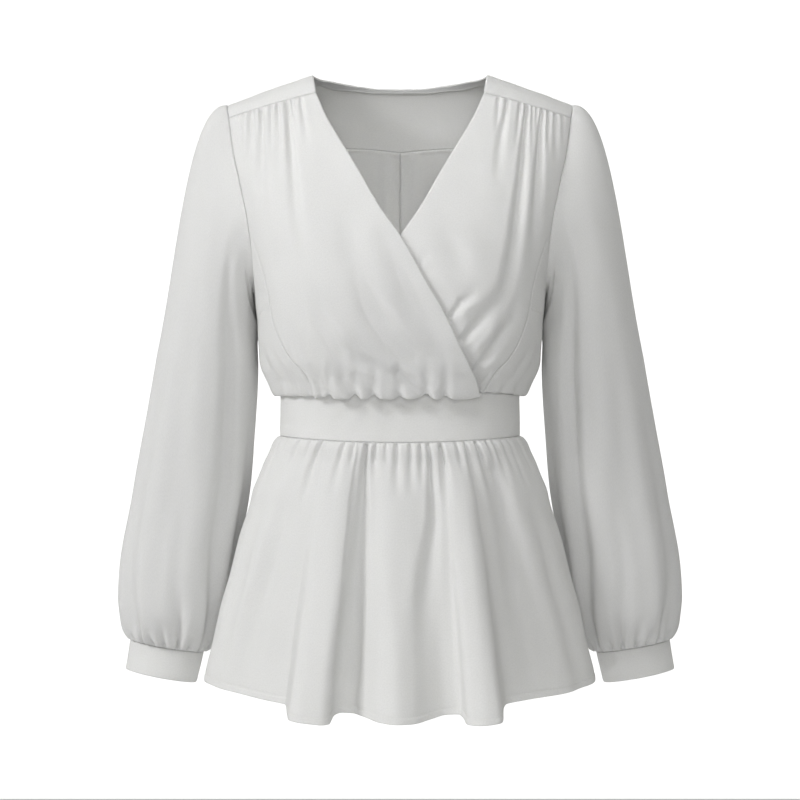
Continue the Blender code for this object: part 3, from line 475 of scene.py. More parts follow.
UNDER_FOLDS = (
    (((-18, -192), (-27, -177)), (4, 6), (1.8, 0.0)),
    (((-50, -244), (-62, -228), (-79, -218)), (4.5, 7), (3.4, 2.6, 0.0)),
    (((-55, -252), (-69, -233), (-92, -212)), (6, 9), (-1.6, -1.8, 0.0)),
    (((-64, -266), (-82, -245), (-97, -227), (-110, -202)), (6, 11), (4.8, 4.4, 2.4, 0.0)),
    (((-71, -282), (-92, -257), (-110, -228)), (5, 8), (-1.4, -1.8, 0.0)),
    (((-76, -297), (-93, -276), (-116, -244), (-122, -200)), (5, 10), (4.0, 4.0, 2.6, 0.0)),
    (((-84, -309), (-106, -287)), (4, 7), (2.6, 0.0)),
    (((-40, -150), (-58, -178), (-66, -206)), (12, 14), (0.0, 2.4, 0.0)),
)
UNDER_WAIST_GATHERS = (
    (((-90, -324), (-101, -300)), (4, 8), (3.2, 0)),
    (((-104, -324), (-115, -298)), (3.6, 8), (3.4, 0)),
    (((-117, -324), (-124, -304)), (3.4, 6), (2.6, 0)),
)
FRONT_COLUMNS = 132
OVER_ACROSS, UNDER_ACROSS = curve(OVER_CROSSING, 1), curve(UNDER_CROSSING, 1)
PRINCESS_ACROSS = curve(PRINCESS_SEAM, 1)
TUCK_INWARD, TUCK_UP = curve(UNDER_TUCK, 1), curve(UNDER_TUCK, 2)


def angle_across(across, level):
    """The angle at which the form is a given distance from the centre line."""
    return np.degrees(np.arcsin(across / HALF_WIDTH(level)))


def princess_angle(level):
    """The princess seam, which leaves the armhole at its top."""
    armhole = ARMHOLE_ANGLE(level)
    seam = angle_across(PRINCESS_ACROSS(level), level)
    return armhole + (seam - armhole) * ease((level - PRINCESS_TOP) / 0.03)


def level_rows(top, count):
    """Levels from a seam to the waist, closer together in the billow over the waistband."""
    return np.concatenate([np.linspace(top, 0.92, count), np.linspace(0.92, 1.0, 30)[1:]])


def billow_way(angle, level, inside=INSIDE_BODY):
    """The way in which relief rises, which stays level where the cloth billows over the waistband."""
    step_angle, step_level = 0.5, 0.004
    held = np.clip(level, -BILLOW, BILLOW)
    along = body_place(angle + step_angle, held) - body_place(angle - step_angle, held)
    down = body_place(angle, held + step_level) - body_place(angle, held - step_level)
    out = np.cross(along, down)
    out /= np.linalg.norm(out, axis=-1, keepdims=True)
    out *= np.sign(np.sum(out * (body_place(angle, held) - inside), axis=-1, keepdims=True))
    flat = out * np.array([1.0, 1.0, 0.0])
    flat /= np.linalg.norm(flat, axis=-1, keepdims=True)
    turned = ease((np.abs(level) - BILLOW + 0.03) / 0.03)[..., None]
    mixed = out + (flat - out) * turned
    return mixed / np.linalg.norm(mixed, axis=-1, keepdims=True)


def pillows(across, level, waist_gathers):
    """How fully the cloth billows over the waistband, least at the foot of each gather there."""
    feet = np.array([path[0][0] for path, _, _ in waist_gathers], float)
    from_foot = np.min(np.abs(across[..., None] - feet), axis=-1)
    return ease((level - 0.84) / 0.12) * (0.25 + 0.75 * ease(from_foot / 8.0))


def front_places(yoke_gathers, folds, waist_gathers, own_crossing, other_crossing, is_over):
    """The front on the wearer's right, from its outer edge to its crossing edge."""
    levels = level_rows(FRONT_TOP, 165)
    share, level = np.meshgrid(np.linspace(0, 1, FRONT_COLUMNS), levels)
    outer = -np.where(level < PRINCESS_TOP, ARMHOLE_ANGLE(level), princess_angle(level))
    angle = outer + (angle_across(own_crossing(level), level) - outer) * share
    form = body_place(angle, level)
    across, down = cloth_lengths(form)
    from_edge = across[:, -1:] - across
    from_waist = down[-1:] - down

    x, z = form[..., 0], form[..., 2]
    held = clear_of(across, 7) * clear_of(from_waist, 5) * clear_of(down, 3)
    waist_height = np.minimum(z, body_place(angle, np.minimum(level, 0.975))[..., 2])
    pinched = creased(x, waist_height, waist_gathers)
    relief = creased(x, z, yoke_gathers) * clear_of(down, 3.5) * clear_of(across, 4)
    puff_below_yoke = 1.1 * np.exp(-((down - 9) / 8) ** 2) * clear_of(down, 4)
    relief += puff_below_yoke * clear_of(across, 12) * clear_of(from_edge, 20)
    relief += creased(x, z, folds) * held
    billow = pillows(x, level, waist_gathers)
    relief += (pinched + 2.6 * billow) * clear_of(from_waist, 5) * clear_of(across, 7)
    relief += 1.4 * soft_wander(x, z) * held

    cover_start, cover_reach = OVER_COVER if is_over else UNDER_COVER
    covered = ease((x + other_crossing(level) + cover_start) / cover_reach)
    lift = np.zeros_like(relief)
    if is_over:
        relief = relief * (1 - covered) + covered * (OVER_LIFT + np.maximum(relief, -2.0))
        lift = (-0.5 * np.minimum(pinched, 0.0) - 3.4 * billow) * ease((level - 0.92) / 0.05)
        lift *= clear_of(from_waist, 5) * (0.2 + 0.8 * clear_of(from_edge, 16))
    else:
        relief = relief * (1 - covered) + covered * (np.minimum(relief, 0.0) - TUCK_INWARD(level))
        lift = covered * TUCK_UP(level)
    relief -= 0.8 * (1 - ease(from_edge / 1.8)) * ease((level - FRONT_TOP) / 0.02)
    relief += seam_dip(across) + 0.6 * seam_dip(down)
    places = form + billow_way(angle, level) * relief[..., None]
    places[..., 2] += lift
    return places


MIRROR = np.array([-1.0, 1.0, 1.0])
OVER_TABLES = (OVER_YOKE_GATHERS, OVER_FOLDS, OVER_WAIST_GATHERS)
UNDER_TABLES = (UNDER_YOKE_GATHERS, UNDER_FOLDS, UNDER_WAIST_GATHERS)
over_places = front_places(*OVER_TABLES, OVER_ACROSS, UNDER_ACROSS, True)
under_places = front_places(*UNDER_TABLES, UNDER_ACROSS, OVER_ACROSS, False)
front_over = sew("front_over_cloth", over_places, INSIDE_BODY, CREPE_WALL, CREPE)
front_under = sew("front_under_cloth", under_places * MIRROR, INSIDE_BODY, CREPE_WALL, CREPE)
for front, node in ((front_over, "front_over"), (front_under, "front_under")):
    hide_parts(node)
    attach(front, "root")


# Side panels
# A slim crepe panel on each side, sewn to a front along the princess seam and to a back along
# the side seam, with a short dart sewn into its front edge at bust height.

SIDE_FOLDS = (
    (((-150, -262), (-138, -290), (-122, -312)), (5, 6), (0, 2.6, 0.8)),
    (((-140, -264), (-126, -290), (-108, -314)), (5, 5), (0, 1.9, 0.6)),
    (((-152, -230), (-146, -262)), (6, 6), (0, 1.3, 0)),
)
DART_GROOVE = (
    (((-149, -237), (-131, -231)), (1.1, 0.9), (0.75, 0.45)),
)
SIDE_WAIST_GATHERS = (
    (((-122, -324), (-131, -300)), (3.4, 6), (3.2, 0)),
    (((-107, -324), (-118, -297)), (3.6, 7), (3.6, 0)),
    (((-93, -324), (-103, -302)), (3.4, 6), (2.8, 0)),
)


def side_places(tucked):
    """The side panel on the wearer's right, from its side seam to its princess seam."""
    levels = level_rows(PRINCESS_TOP, 116)
    share, level = np.meshgrid(np.linspace(0, 1, 44), levels)
    side = -ARMHOLE_ANGLE(level)
    angle = side + (-princess_angle(level) - side) * share
    form = body_place(angle, level)
    across, down = cloth_lengths(form)
    from_princess = across[:, -1:] - across
    from_waist = down[-1:] - down
    x, z = form[..., 0], form[..., 2]
    sides = np.minimum(across, from_princess)
    held = clear_of(sides, 6) * clear_of(from_waist, 5)
    relief = (creased(x, z, SIDE_FOLDS) + creased(x, z, SIDE_WAIST_GATHERS) + 0.8 * soft_wander(x, z)) * held
    relief += 1.2 * pillows(x, level, SIDE_WAIST_GATHERS) * held
    relief += creased(x, z, DART_GROOVE) * clear_of(across, 3)
    relief += seam_dip(across) + seam_dip(from_princess)
    places = form + billow_way(angle, level) * relief[..., None]
    if tucked:
        past_princess = OVER_ACROSS(level) - PRINCESS_ACROSS(level)
        covered = ease((past_princess + UNDER_COVER[0]) / UNDER_COVER[1]) * ease(share)
        places -= billow_way(angle, level) * (covered * TUCK_INWARD(level))[..., None]
        places[..., 2] += covered * TUCK_UP(level)
    return places


side_right = sew("side_panel_right_cloth", side_places(False), INSIDE_BODY, CREPE_WALL, CREPE)
side_left = sew("side_panel_left_cloth", side_places(True) * MIRROR, INSIDE_BODY, CREPE_WALL, CREPE)
for panel, node in ((side_right, "side_panel_right"), (side_left, "side_panel_left")):
    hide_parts(node)
    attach(panel, "root")


# Backs
# Two crepe back panels, eased into the yoke's back seam, joined down the centre back and
# gathered a little into the waistband, over which they billow as the fronts do.

BACK_FOLDS = (
    # one half of the back: across from the centre and height in mm, half-widths, depths
    (((-15, -60), (-16, -150), (-13, -225)), (7, 10), (1.8, 2.4, 0)),
    (((-52, -90), (-60, -180), (-56, -260)), (14, 18), (0, 2.4, 0)),
    (((-100, -60), (-98, -140), (-108, -215)), (14, 18), (0, 2.7, 0)),
    (((-132, -120), (-118, -170), (-98, -226)), (10, 14), (0, 2.4, 0)),
    (((-40, -240), (-30, -285), (-22, -318)), (9, 6), (0, 3, 1.5)),
    (((-88, -236), (-78, -282), (-70, -318)), (10, 7), (0, 3.3, 1.5)),
)
BACK_WAIST_GATHERS = (
    (((-8, -322), (-9, -286)), (3.2, 7), (3.2, 0)),
    (((-21, -322), (-24, -270)), (3.6, 9), (4.5, 0)),
    (((-33, -322), (-36, -292)), (3, 6), (2.9, 0)),
    (((-47, -322), (-52, -276)), (3.6, 9), (4.2, 0)),
    (((-62, -322), (-66, -296)), (3, 6), (2.6, 0)),
    (((-74, -322), (-80, -272)), (3.8, 9), (4.8, 0)),
    (((-88, -322), (-93, -294)), (3, 6), (2.9, 0)),
    (((-101, -322), (-108, -282)), (3.4, 8), (3.8, 0)),
    (((-113, -322), (-120, -298)), (2.8, 5), (2.2, 0)),
)
BACK_CORNER_ANGLE, BACK_CORNER_LEVEL = 67.1, 0.23


def back_places():
    """The back panel on the wearer's right, from the centre back to its outer edge."""
    levels = level_rows(BACK_CORNER_LEVEL, 118)
    share, side_level = np.meshgrid(np.linspace(0, 1, 96), levels)
    down_share = (side_level - BACK_CORNER_LEVEL) / (1 - BACK_CORNER_LEVEL)
    top = -BACK_SEAM_LEVEL(BACK_CORNER_ANGLE * share)
    level = -(top + (1 - top) * down_share)
    angle = -ARMHOLE_ANGLE(side_level) * share
    form = body_place(angle, level)
    across, down = cloth_lengths(form)
    from_outer = across[:, -1:] - across
    from_waist = down[-1:] - down
    x, z = form[..., 0], form[..., 2]
    held = clear_of(np.minimum(across, from_outer), 6) * clear_of(from_waist, 5)
    relief = creased(x, z, BACK_FOLDS) * held * clear_of(down, 6)
    relief += (creased(x, z, BACK_WAIST_GATHERS) + 0.7 * ease((np.abs(level) - 0.90) / 0.06)) * held
    relief += 1.2 * soft_wander(x, z) * held * clear_of(down, 8)
    relief += seam_dip(across) + seam_dip(from_outer) + seam_dip(down)
    return form + billow_way(angle, level) * relief[..., None]


back_right = sew("back_right_cloth", back_places(), INSIDE_BODY, CREPE_WALL, CREPE)
back_left = sew("back_left_cloth", back_places() * MIRROR, INSIDE_BODY, CREPE_WALL, CREPE)
for back, node in ((back_right, "back_right"), (back_left, "back_left")):
    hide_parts(node)
    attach(back, "root")


# Waistband
# A flat band of doubled crepe in two halves, front and back, seamed at the sides. The bodice
# billows over its upper seam and the peplum is gathered into its lower one.

BAND_WALL = 1.7 * MM
WAIST_TOP = -320.0
WAIST_TOP_HALF_WIDTH = 126.5
WAIST_BOTTOM_HALF_WIDTH = 127.0
WAIST_DEPTH = {"front": -98.5, "back": 83.0}
WAIST_FULLNESS = {"front": 0.33, "back": 0.30}
WAIST_BOTTOM_MIDDLE = {"front": -370.0, "back": -366.0}
WAIST_BOTTOM_SIDE = -364.0
BAND_CREASES = {
    "front": (
        (((-120, -352), (-96, -344)), (5, 8), (0.5, 0.0)),
        (((-40, -338), (10, -341), (62, -338)), (7, 7), (0.0, 0.5, 0.0)),
        (((70, -352), (100, -346)), (6, 7), (0.0, 0.5)),
        (((-70, -358), (-20, -361)), (6, 7), (0.0, 0.4, 0.0)),
    ),
    "back": (
        (((-110, -340), (-70, -346)), (6, 8), (0.5, 0.0)),
        (((-20, -350), (30, -346), (60, -350)), (7, 7), (0.0, 0.5, 0.0)),
        (((118, -342), (84, -348)), (6, 8), (0.5, 0.0)),
    ),
}
INSIDE_WAIST = np.array([0.0, 0.0, -340.0])


def waist_seam_height(angle, half):
    """The height of the seam between the waistband and the peplum."""
    middle = WAIST_BOTTOM_MIDDLE[half]
    return WAIST_BOTTOM_SIDE + (middle - WAIST_BOTTOM_SIDE) * np.cos(np.radians(angle)) ** 2


def waist_place(angle, half_width, half, height):
    """A place on the waist, at a height."""
    turn = np.radians(angle)
    forward = WAIST_DEPTH[half] * np.cos(turn) * (1 + WAIST_FULLNESS[half] * np.sin(turn) ** 2)
    return np.stack([half_width * np.sin(turn), forward, height], axis=-1)


for half in ("front", "back"):
    angle, down = np.meshgrid(np.linspace(-90, 90, 190), np.linspace(0, 1, 36))
    half_width = WAIST_TOP_HALF_WIDTH + (WAIST_BOTTOM_HALF_WIDTH - WAIST_TOP_HALF_WIDTH) * down
    height = WAIST_TOP + (waist_seam_height(angle, half) - WAIST_TOP) * down
    form = waist_place(angle, half_width, half, height)
    band_across, band_down = cloth_lengths(form)
    ends = np.minimum(band_across, band_across[:, -1:] - band_across)
    from_seams = np.minimum(band_down, band_down[-1:] - band_down)
    relief = creased(form[..., 0], form[..., 2], BAND_CREASES[half]) * clear_of(from_seams, 8)
    relief += 0.5 * soft_wander(form[..., 0] * 1.3, form[..., 2] * 3) * clear_of(from_seams, 8)
    relief += seam_dip(ends) + seam_dip(band_down) + 0.4 * seam_dip(band_down[-1:] - band_down)
    places = form + way_out(form, INSIDE_WAIST) * relief[..., None]
    band = sew("waistband_" + half + "_cloth", places, INSIDE_WAIST, BAND_WALL, BAND_CREPE)
    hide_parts("waistband_" + half)
    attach(band, "root")


# Peplum
# A flared crepe skirt in two halves, front and back, gathered into the waistband and left to
# hang in uneven flutes, with a narrow hem turned up once and topstitched.

PEPLUM_FLARE = (
    # height, half width
    (-630, 207.0), (-622, 206.7), (-581, 197.5), (-542, 189.0), (-510, 180.0), (-471, 170.4), (-434, 158.6),
    (-422, 156.0), (-406, 149.5), (-390, 143.0), (-375, 134.6), (-364, 127.0),
)
HEM_DEPTH = {"front": -102.0, "back": 95.0}
HEM_SIDE = -622.0
HEM_MIDDLE = {"front": -644.0, "back": -640.0}
FLUTES = {
    # angle, how far forward the hem comes there, and the cloth above it, and how far the hem drops
    "front": (
        (-90, 0, 0, 0), (-72, 3, 2, 0), (-58, -3, 2, 0), (-45, -2, 6, 0), (-38, 1, 14, 0),
        (-34.4, 4, 20, 0.5),
        (-33.3, 40, 26, 5), (-32.3, 63, 31, 8), (-28, 70, 42, 8.5), (-23, 70, 48, 8.5), (-20, 64, 44, 7.5),
        (-18.6, 36, 28, 1.5), (-16.4, 24, 15, 0), (-13.4, 23, 12, 0), (-10.2, 37, 22, 1), (-5.5, 60, 40, 4),
        (-1, 67, 47, 5), (3.5, 62, 45, 5), (8.5, 46, 36, 2.5), (13, 35, 31, 0), (16.6, 34, 32, 0.5),
        (17.8, 42, 36, 2.5), (18.9, 62, 44, 7.5), (21, 70, 51, 8.5), (25, 74, 54, 9), (28.4, 72, 45, 8.8),
        (29.4, 66, 36, 8), (30.4, 10, 18, 1.2), (31.8, -8, 9, 0), (35, -12, 1, 0), (40, -11, -5, 0),
        (50, -4, -3, 0), (62, 2, 1, 0), (76, 2, 2, 0), (90, 0, 0, 0),
    ),
    "back": (
        (-90, 0, 0, 0), (-76, -3, -1, 0), (-65, 2, 2, 0), (-50, 34, 24, 3), (-35, 1, 6, 0), (-19, 42, 28, 5),
        (-4, 0, 6, 0), (14, 38, 26, 4), (28, 1, 6, 0), (46, 36, 25, 3), (63, 0, 2, 0), (76, -3, -1, 0),
        (90, 0, 0, 0),
    ),
}
FLUTE_GROWTH = 0.9
MM_PER_DEGREE = 2.8
PEPLUM_GATHERS = {
    # angle and distance down in mm, half-widths in mm, depths
    "front": (
        (((-78, 0), (-78, 46)), (3, 7), (1.2, 0.0)),
        (((-70, 0), (-70, 60)), (3, 8), (1.5, 0.0)),
        (((-63, 0), (-62, 30)), (2.6, 5), (1.0, 0.0)),
        (((-53.4, 0), (-53, 52)), (3, 8), (2.0, 0.0)),
        (((-45, 0), (-45, 30)), (2.6, 5), (1.6, 0.0)),
        (((-38.8, 0), (-40, 84)), (3.2, 10), (2.6, 0.0)),
        (((-26.2, 0), (-27, 60)), (3, 8), (2.2, 0.0)),
        (((-21.4, 0), (-21.0, 30)), (2.4, 4), (1.9, 0.0)),
        (((-15.4, 0), (-14, 60), (-14.4, 150), (-15.5, 240)), (3.2, 14), (3.6, 4.0, 3.0, 2.0)),
        (((-11.1, 0), (-10, 44)), (2.8, 6), (2.0, 0.0)),
        (((-6.4, 0), (-5.6, 26)), (2.4, 4), (1.4, 0.0)),
        (((-1.6, 0), (-1.2, 62)), (2.8, 8), (2.8, 0.0)),
        (((4.6, 0), (4.4, 60)), (2.8, 8), (2.2, 0.0)),
        (((9.2, 0), (9.0, 46)), (2.8, 7), (2.2, 0.0)),
        (((13, 0), (12.4, 80), (8, 160), (6.5, 240)), (3, 16), (2.6, 2.6, 1.8, 0.0)),
        (((18.7, 0), (18.4, 70)), (3.4, 9), (3.4, 0.0)),
        (((26.2, 0), (27, 36)), (2.8, 6), (2.0, 0.0)),
        (((31, 0), (31, 44)), (2.8, 7), (1.6, 0.0)),
        (((37, 0), (38, 84)), (3.2, 10), (2.6, 0.0)),
        (((43.2, 0), (43.4, 30)), (2.4, 4), (1.9, 0.0)),
        (((47.6, 0), (48, 56)), (3, 8), (2.0, 0.0)),
        (((53.4, 0), (54, 40)), (2.8, 6), (1.6, 0.0)),
        (((59.1, 0), (60, 60)), (3, 8), (1.7, 0.0)),
        (((69, 0), (70, 44)), (3, 7), (1.4, 0.0)),
        (((79, 0), (79, 50)), (3, 7), (1.2, 0.0)),
    ),
    "back": (
        (((-79, 0), (-79, 46)), (3, 7), (1.3, 0.0)),
        (((-71, 0), (-72, 60)), (3, 8), (1.7, 0.0)),
        (((-64, 0), (-64, 90), (-66, 200)), (3.4, 14), (2.6, 2.4, 0.0)),
        (((-57, 0), (-56, 40)), (3, 6), (1.6, 0.0)),
        (((-50, 0), (-50, 52)), (3, 7), (1.8, 0.0)),
        (((-43, 0), (-42, 36)), (2.8, 6), (1.5, 0.0)),
        (((-35, 0), (-34, 90), (-35, 220)), (3.4, 15), (3.2, 2.8, 0.0)),
        (((-28, 0), (-27, 44)), (3, 7), (2.0, 0.0)),
        (((-21, 0), (-21, 34)), (2.6, 5), (1.4, 0.0)),
        (((-15, 0), (-15, 52)), (2.8, 7), (2.0, 0.0)),
        (((-8, 0), (-7, 40)), (2.8, 6), (1.8, 0.0)),
        (((-2, 0), (-2, 100), (-2, 230)), (3.4, 14), (3.2, 2.6, 0.0)),
        (((5, 0), (6, 40)), (2.8, 6), (1.9, 0.0)),
        (((12, 0), (12, 56)), (3, 7), (2.0, 0.0)),
        (((19, 0), (19, 36)), (2.6, 5), (1.4, 0.0)),
        (((25, 0), (26, 50)), (3, 7), (2.0, 0.0)),
        (((31, 0), (30, 96), (31, 220)), (3.4, 15), (3.0, 2.6, 0.0)),
        (((38, 0), (39, 42)), (2.8, 6), (1.7, 0.0)),
        (((46, 0), (46, 54)), (3, 7), (1.9, 0.0)),
        (((53, 0), (54, 38)), (2.8, 6), (1.5, 0.0)),
        (((62, 0), (63, 88), (65, 200)), (3.4, 14), (2.6, 2.2, 0.0)),
        (((70, 0), (71, 54)), (3, 7), (1.6, 0.0)),
        (((79, 0), (79, 44)), (3, 7), (1.2, 0.0)),
    ),
}
PEPLUM_FOLDS = {
    "front": (
        (((-48, 40), (-50, 150), (-53, 262)), (16, 26), (0.0, 3.0, 2.0)),
        (((-66, 60), (-68, 160), (-70, 262)), (14, 22), (0.0, 2.0, 1.4)),
        (((42, 36), (42, 110), (43, 262)), (14, 24), (2.0, 4.0, 2.0)),
        (((60, 60), (63, 160), (66, 262)), (14, 22), (0.0, 2.4, 1.6)),
        (((-6, 60), (-5, 150), (-3, 230)), (10, 14), (0.0, -1.2, 0.0)),
    ),
    "back": (
        (((-78, 60), (-79, 262)), (14, 22), (0.0, 1.6)),
        (((79, 60), (80, 262)), (14, 22), (0.0, 1.6)),
    ),
}
HEM_TURN = 7.0
PEPLUM_HALF_WIDTH = curve(PEPLUM_FLARE, 1)


def flute_lift(angle, down, half):
    """How far the flutes bring the cloth forward, sharper towards the hem."""
    at_hem, above = curve(FLUTES[half], 1)(angle), curve(FLUTES[half], 2)(angle)
    return (above + (at_hem - above) * ease((down - 0.25) / 0.75)) * down**FLUTE_GROWTH


def peplum_places(half, columns, rows):
    """One half of the peplum, from side seam to side seam and from the waist to the hem."""
    even = np.linspace(-90, 90, 3000)
    steps = np.hypot(3.6 * np.diff(even), np.diff(curve(FLUTES[half], 1)(even)))
    gone = np.concatenate([[0.0], np.cumsum(steps)])
    angle, down = np.meshgrid(np.interp(np.linspace(0, gone[-1], columns), gone, even), rows)
    middle = HEM_MIDDLE[half]
    hem = HEM_SIDE + (middle - HEM_SIDE) * np.cos(np.radians(angle)) ** 2 - curve(FLUTES[half], 3)(angle)
    top = waist_seam_height(angle, half)
    height = top + (hem - top) * down
    spread = PEPLUM_HALF_WIDTH(WAIST_BOTTOM_SIDE + (HEM_SIDE - WAIST_BOTTOM_SIDE) * down)
    turn = np.radians(angle)
    depth = WAIST_DEPTH[half] + (HEM_DEPTH[half] - WAIST_DEPTH[half]) * down
    forward = depth * np.cos(turn) * (1 + WAIST_FULLNESS[half] * np.sin(turn) ** 2)
    forward += np.sign(depth) * flute_lift(angle, down, half)
    form = np.stack([spread * np.sin(turn), forward, height], axis=-1)

    across, travelled = cloth_lengths(form)
    ends = np.minimum(across, across[:, -1:] - across)
    from_hem = travelled[-1:] - travelled
    around = angle * MM_PER_DEGREE
    scaled = [(tuple((place[0] * MM_PER_DEGREE, place[1]) for place in path), widths, depths)
              for path, widths, depths in PEPLUM_GATHERS[half] + PEPLUM_FOLDS[half]]
    relief = 2.2 * creased(around, travelled, scaled) * clear_of(travelled, 3) * clear_of(ends, 8)
    relief += 2.2 * np.exp(-((travelled - 8) / 9) ** 2) * clear_of(travelled, 3)
    relief += 1.3 * soft_wander(around, travelled) * clear_of(travelled, 20) * clear_of(ends, 8)
    relief += seam_dip(ends) + 0.5 * seam_dip(travelled)
    relief -= 0.55 * np.exp(-((from_hem - HEM_TURN) / 0.8) ** 2)
    relief += 0.5 * (1 - ease((from_hem - HEM_TURN + 1.0) / 1.6))
    relief += 0.12 * np.sin(around / 2.6 + np.sin(around / 11)) * np.exp(-((from_hem - HEM_TURN) / 4) ** 2)
    return form + way_out(form, INSIDE_WAIST) * relief[..., None]


PEPLUM_ROWS = np.concatenate([
    np.linspace(0, 0.10, 22), np.linspace(0.10, 0.95, 76)[1:], np.linspace(0.95, 1, 14)[1:],
])
PEPLUM_COLUMNS = 288
peplum_halves = {}
for half in ("front", "back"):
    places = peplum_places(half, PEPLUM_COLUMNS, PEPLUM_ROWS)
    peplum = sew("peplum_" + half + "_cloth", places, INSIDE_WAIST, CREPE_WALL, CREPE)
    peplum_halves[half] = places
    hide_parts("peplum_" + half)
    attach(peplum, "root")


# Sleeves
# Two long bishop sleeves in crepe, eased into the armholes with a few small gathers at the
# shoulder, full below the elbow and gathered all round into the cuffs.

SLEEVE_RINGS = (
    # along, height, across, back, half width, half depth, tilt
    (0.38, -262.0, -203.0, 12.0, 51.5, 62.0, 6.0),
    (0.43, -291.0, -205.7, 15.0, 54.8, 62.0, 6.0),
    (0.54, -355.0, -213.4, 22.0, 58.6, 62.0, 6.5),
    (0.665, -430.0, -224.5, 34.0, 62.0, 64.0, 7.0),
    (0.785, -500.0, -239.0, 42.0, 61.8, 64.0, 8.0),
    (0.865, -545.0, -245.0, 45.0, 59.8, 61.0, 9.0),
    (0.92, -572.0, -248.0, 45.5, 54.0, 52.0, 9.5),
    (0.965, -585.5, -249.8, 46.0, 46.0, 41.0, 9.75),
    (1.00, -590.8, -251.2, 46.0, 41.0, 33.5, 9.75),
)
CAP_END = 0.38
CAP_REACH_UNDERARM = 8.0
CAP_REACH_SHOULDER = 40.0
CAP_ARM_SHARE = 0.45
CAP_RISE = 0.12
UNDERARM_LEVEL = 0.66
SLEEVE_ROUND = 372.0
SLEEVE_LONG = 590.0
SLEEVE_FOLDS = (
    # around from the top of the shoulder by the front, and down, in mm; half-widths, depths
    (((112, 70), (126, 260), (134, 420), (186.3, 735.8)), (9, 16), (0, 7.8, 8.8, 0)),
    (((70, 150), (74, 300), (89.1, 634.5)), (16, 20), (0, 3.9, 0)),
    (((40, 240), (34, 380), (59.4, 756)), (13, 17), (0, 5.4, 0)),
    (((90, 330), (96, 440), (121.5, 756)), (10, 14), (0, 4.3, 0)),
    (((150, 60), (210.6, 202.5)), (9, 12), (3.9, 0)),
    (((166, 250), (168, 420), (216, 756)), (10, 14), (0, 5.4, 0)),
    (((236, 80), (246, 260), (324, 634.5)), (12, 18), (0, 7.3, 0)),
    (((300, 200), (292, 360), (407.7, 756)), (14, 18), (0, 5.8, 0)),
    (((334, 320), (340, 470), (448.2, 756)), (12, 14), (0, 4.3, 0)),
    (((210, 90), (288.9, 229.5)), (8, 10), (3.9, 0)),
)
SLEEVE_HEAD_GATHERS = (
    (((6, 0), (7, 22)), (2.2, 4), (1.7, 0)),
    (((14, 0), (16, 26)), (2.2, 4), (1.8, 0)),
    (((23, 0), (26, 20)), (2.2, 4), (1.5, 0)),
    (((366, 0), (365, 22)), (2.2, 4), (1.5, 0)),
    (((357, 0), (355, 26)), (2.2, 4), (1.7, 0)),
)
CUFF_GATHERS = (
    # place around, how far up the sleeve it reaches, depth at the cuff
    (4, 34, 2.0), (25, 52, 2.9), (43, 30, 2.0), (60, 66, 3.3), (77, 36, 2.3), (93, 48, 2.8), (113, 74, 3.4),
    (131, 34, 2.2), (150, 56, 3.0), (172, 38, 2.3), (194, 60, 3.0), (213, 34, 2.1), (234, 70, 3.2),
    (253, 40, 2.4), (272, 54, 2.8), (295, 32, 2.0), (316, 62, 3.1), (336, 38, 2.3), (354, 50, 2.6),
)
UNDERARM_SEAM = 186
RING = tuple(curve(SLEEVE_RINGS, i) for i in range(1, 7))


def armhole_places(around):
    """Places on the right armhole and the body's way out. around is 0 at the shoulder, 0.5 below it."""
    levels = np.linspace(0, UNDERARM_LEVEL, 240)
    level = np.zeros_like(around)
    for here, side in ((around <= 0.5, 1.0), (around > 0.5, -1.0)):
        loop = body_place(-ARMHOLE_ANGLE(levels), side * levels)
        lengths = np.concatenate([[0.0], np.cumsum(np.linalg.norm(np.diff(loop, axis=0), axis=1))])
        share = 2 * np.minimum(around, 1 - around)
        level = np.where(here, side * np.interp(share, lengths / lengths[-1], levels), level)
    angle = -ARMHOLE_ANGLE(np.abs(level))
    return body_place(angle, level), billow_way(angle, level)


def sleeve_ring(around, along):
    """A place on the sleeve below its cap."""
    height, across, back, half_width, half_depth, tilt = (read(along) for read in RING)
    out = half_width * np.cos(2 * np.pi * around)
    forward = half_depth * np.sin(2 * np.pi * around)
    tilt = np.radians(tilt)
    return np.stack([across - out * np.cos(tilt), back - forward, height + out * np.sin(tilt)], axis=-1)


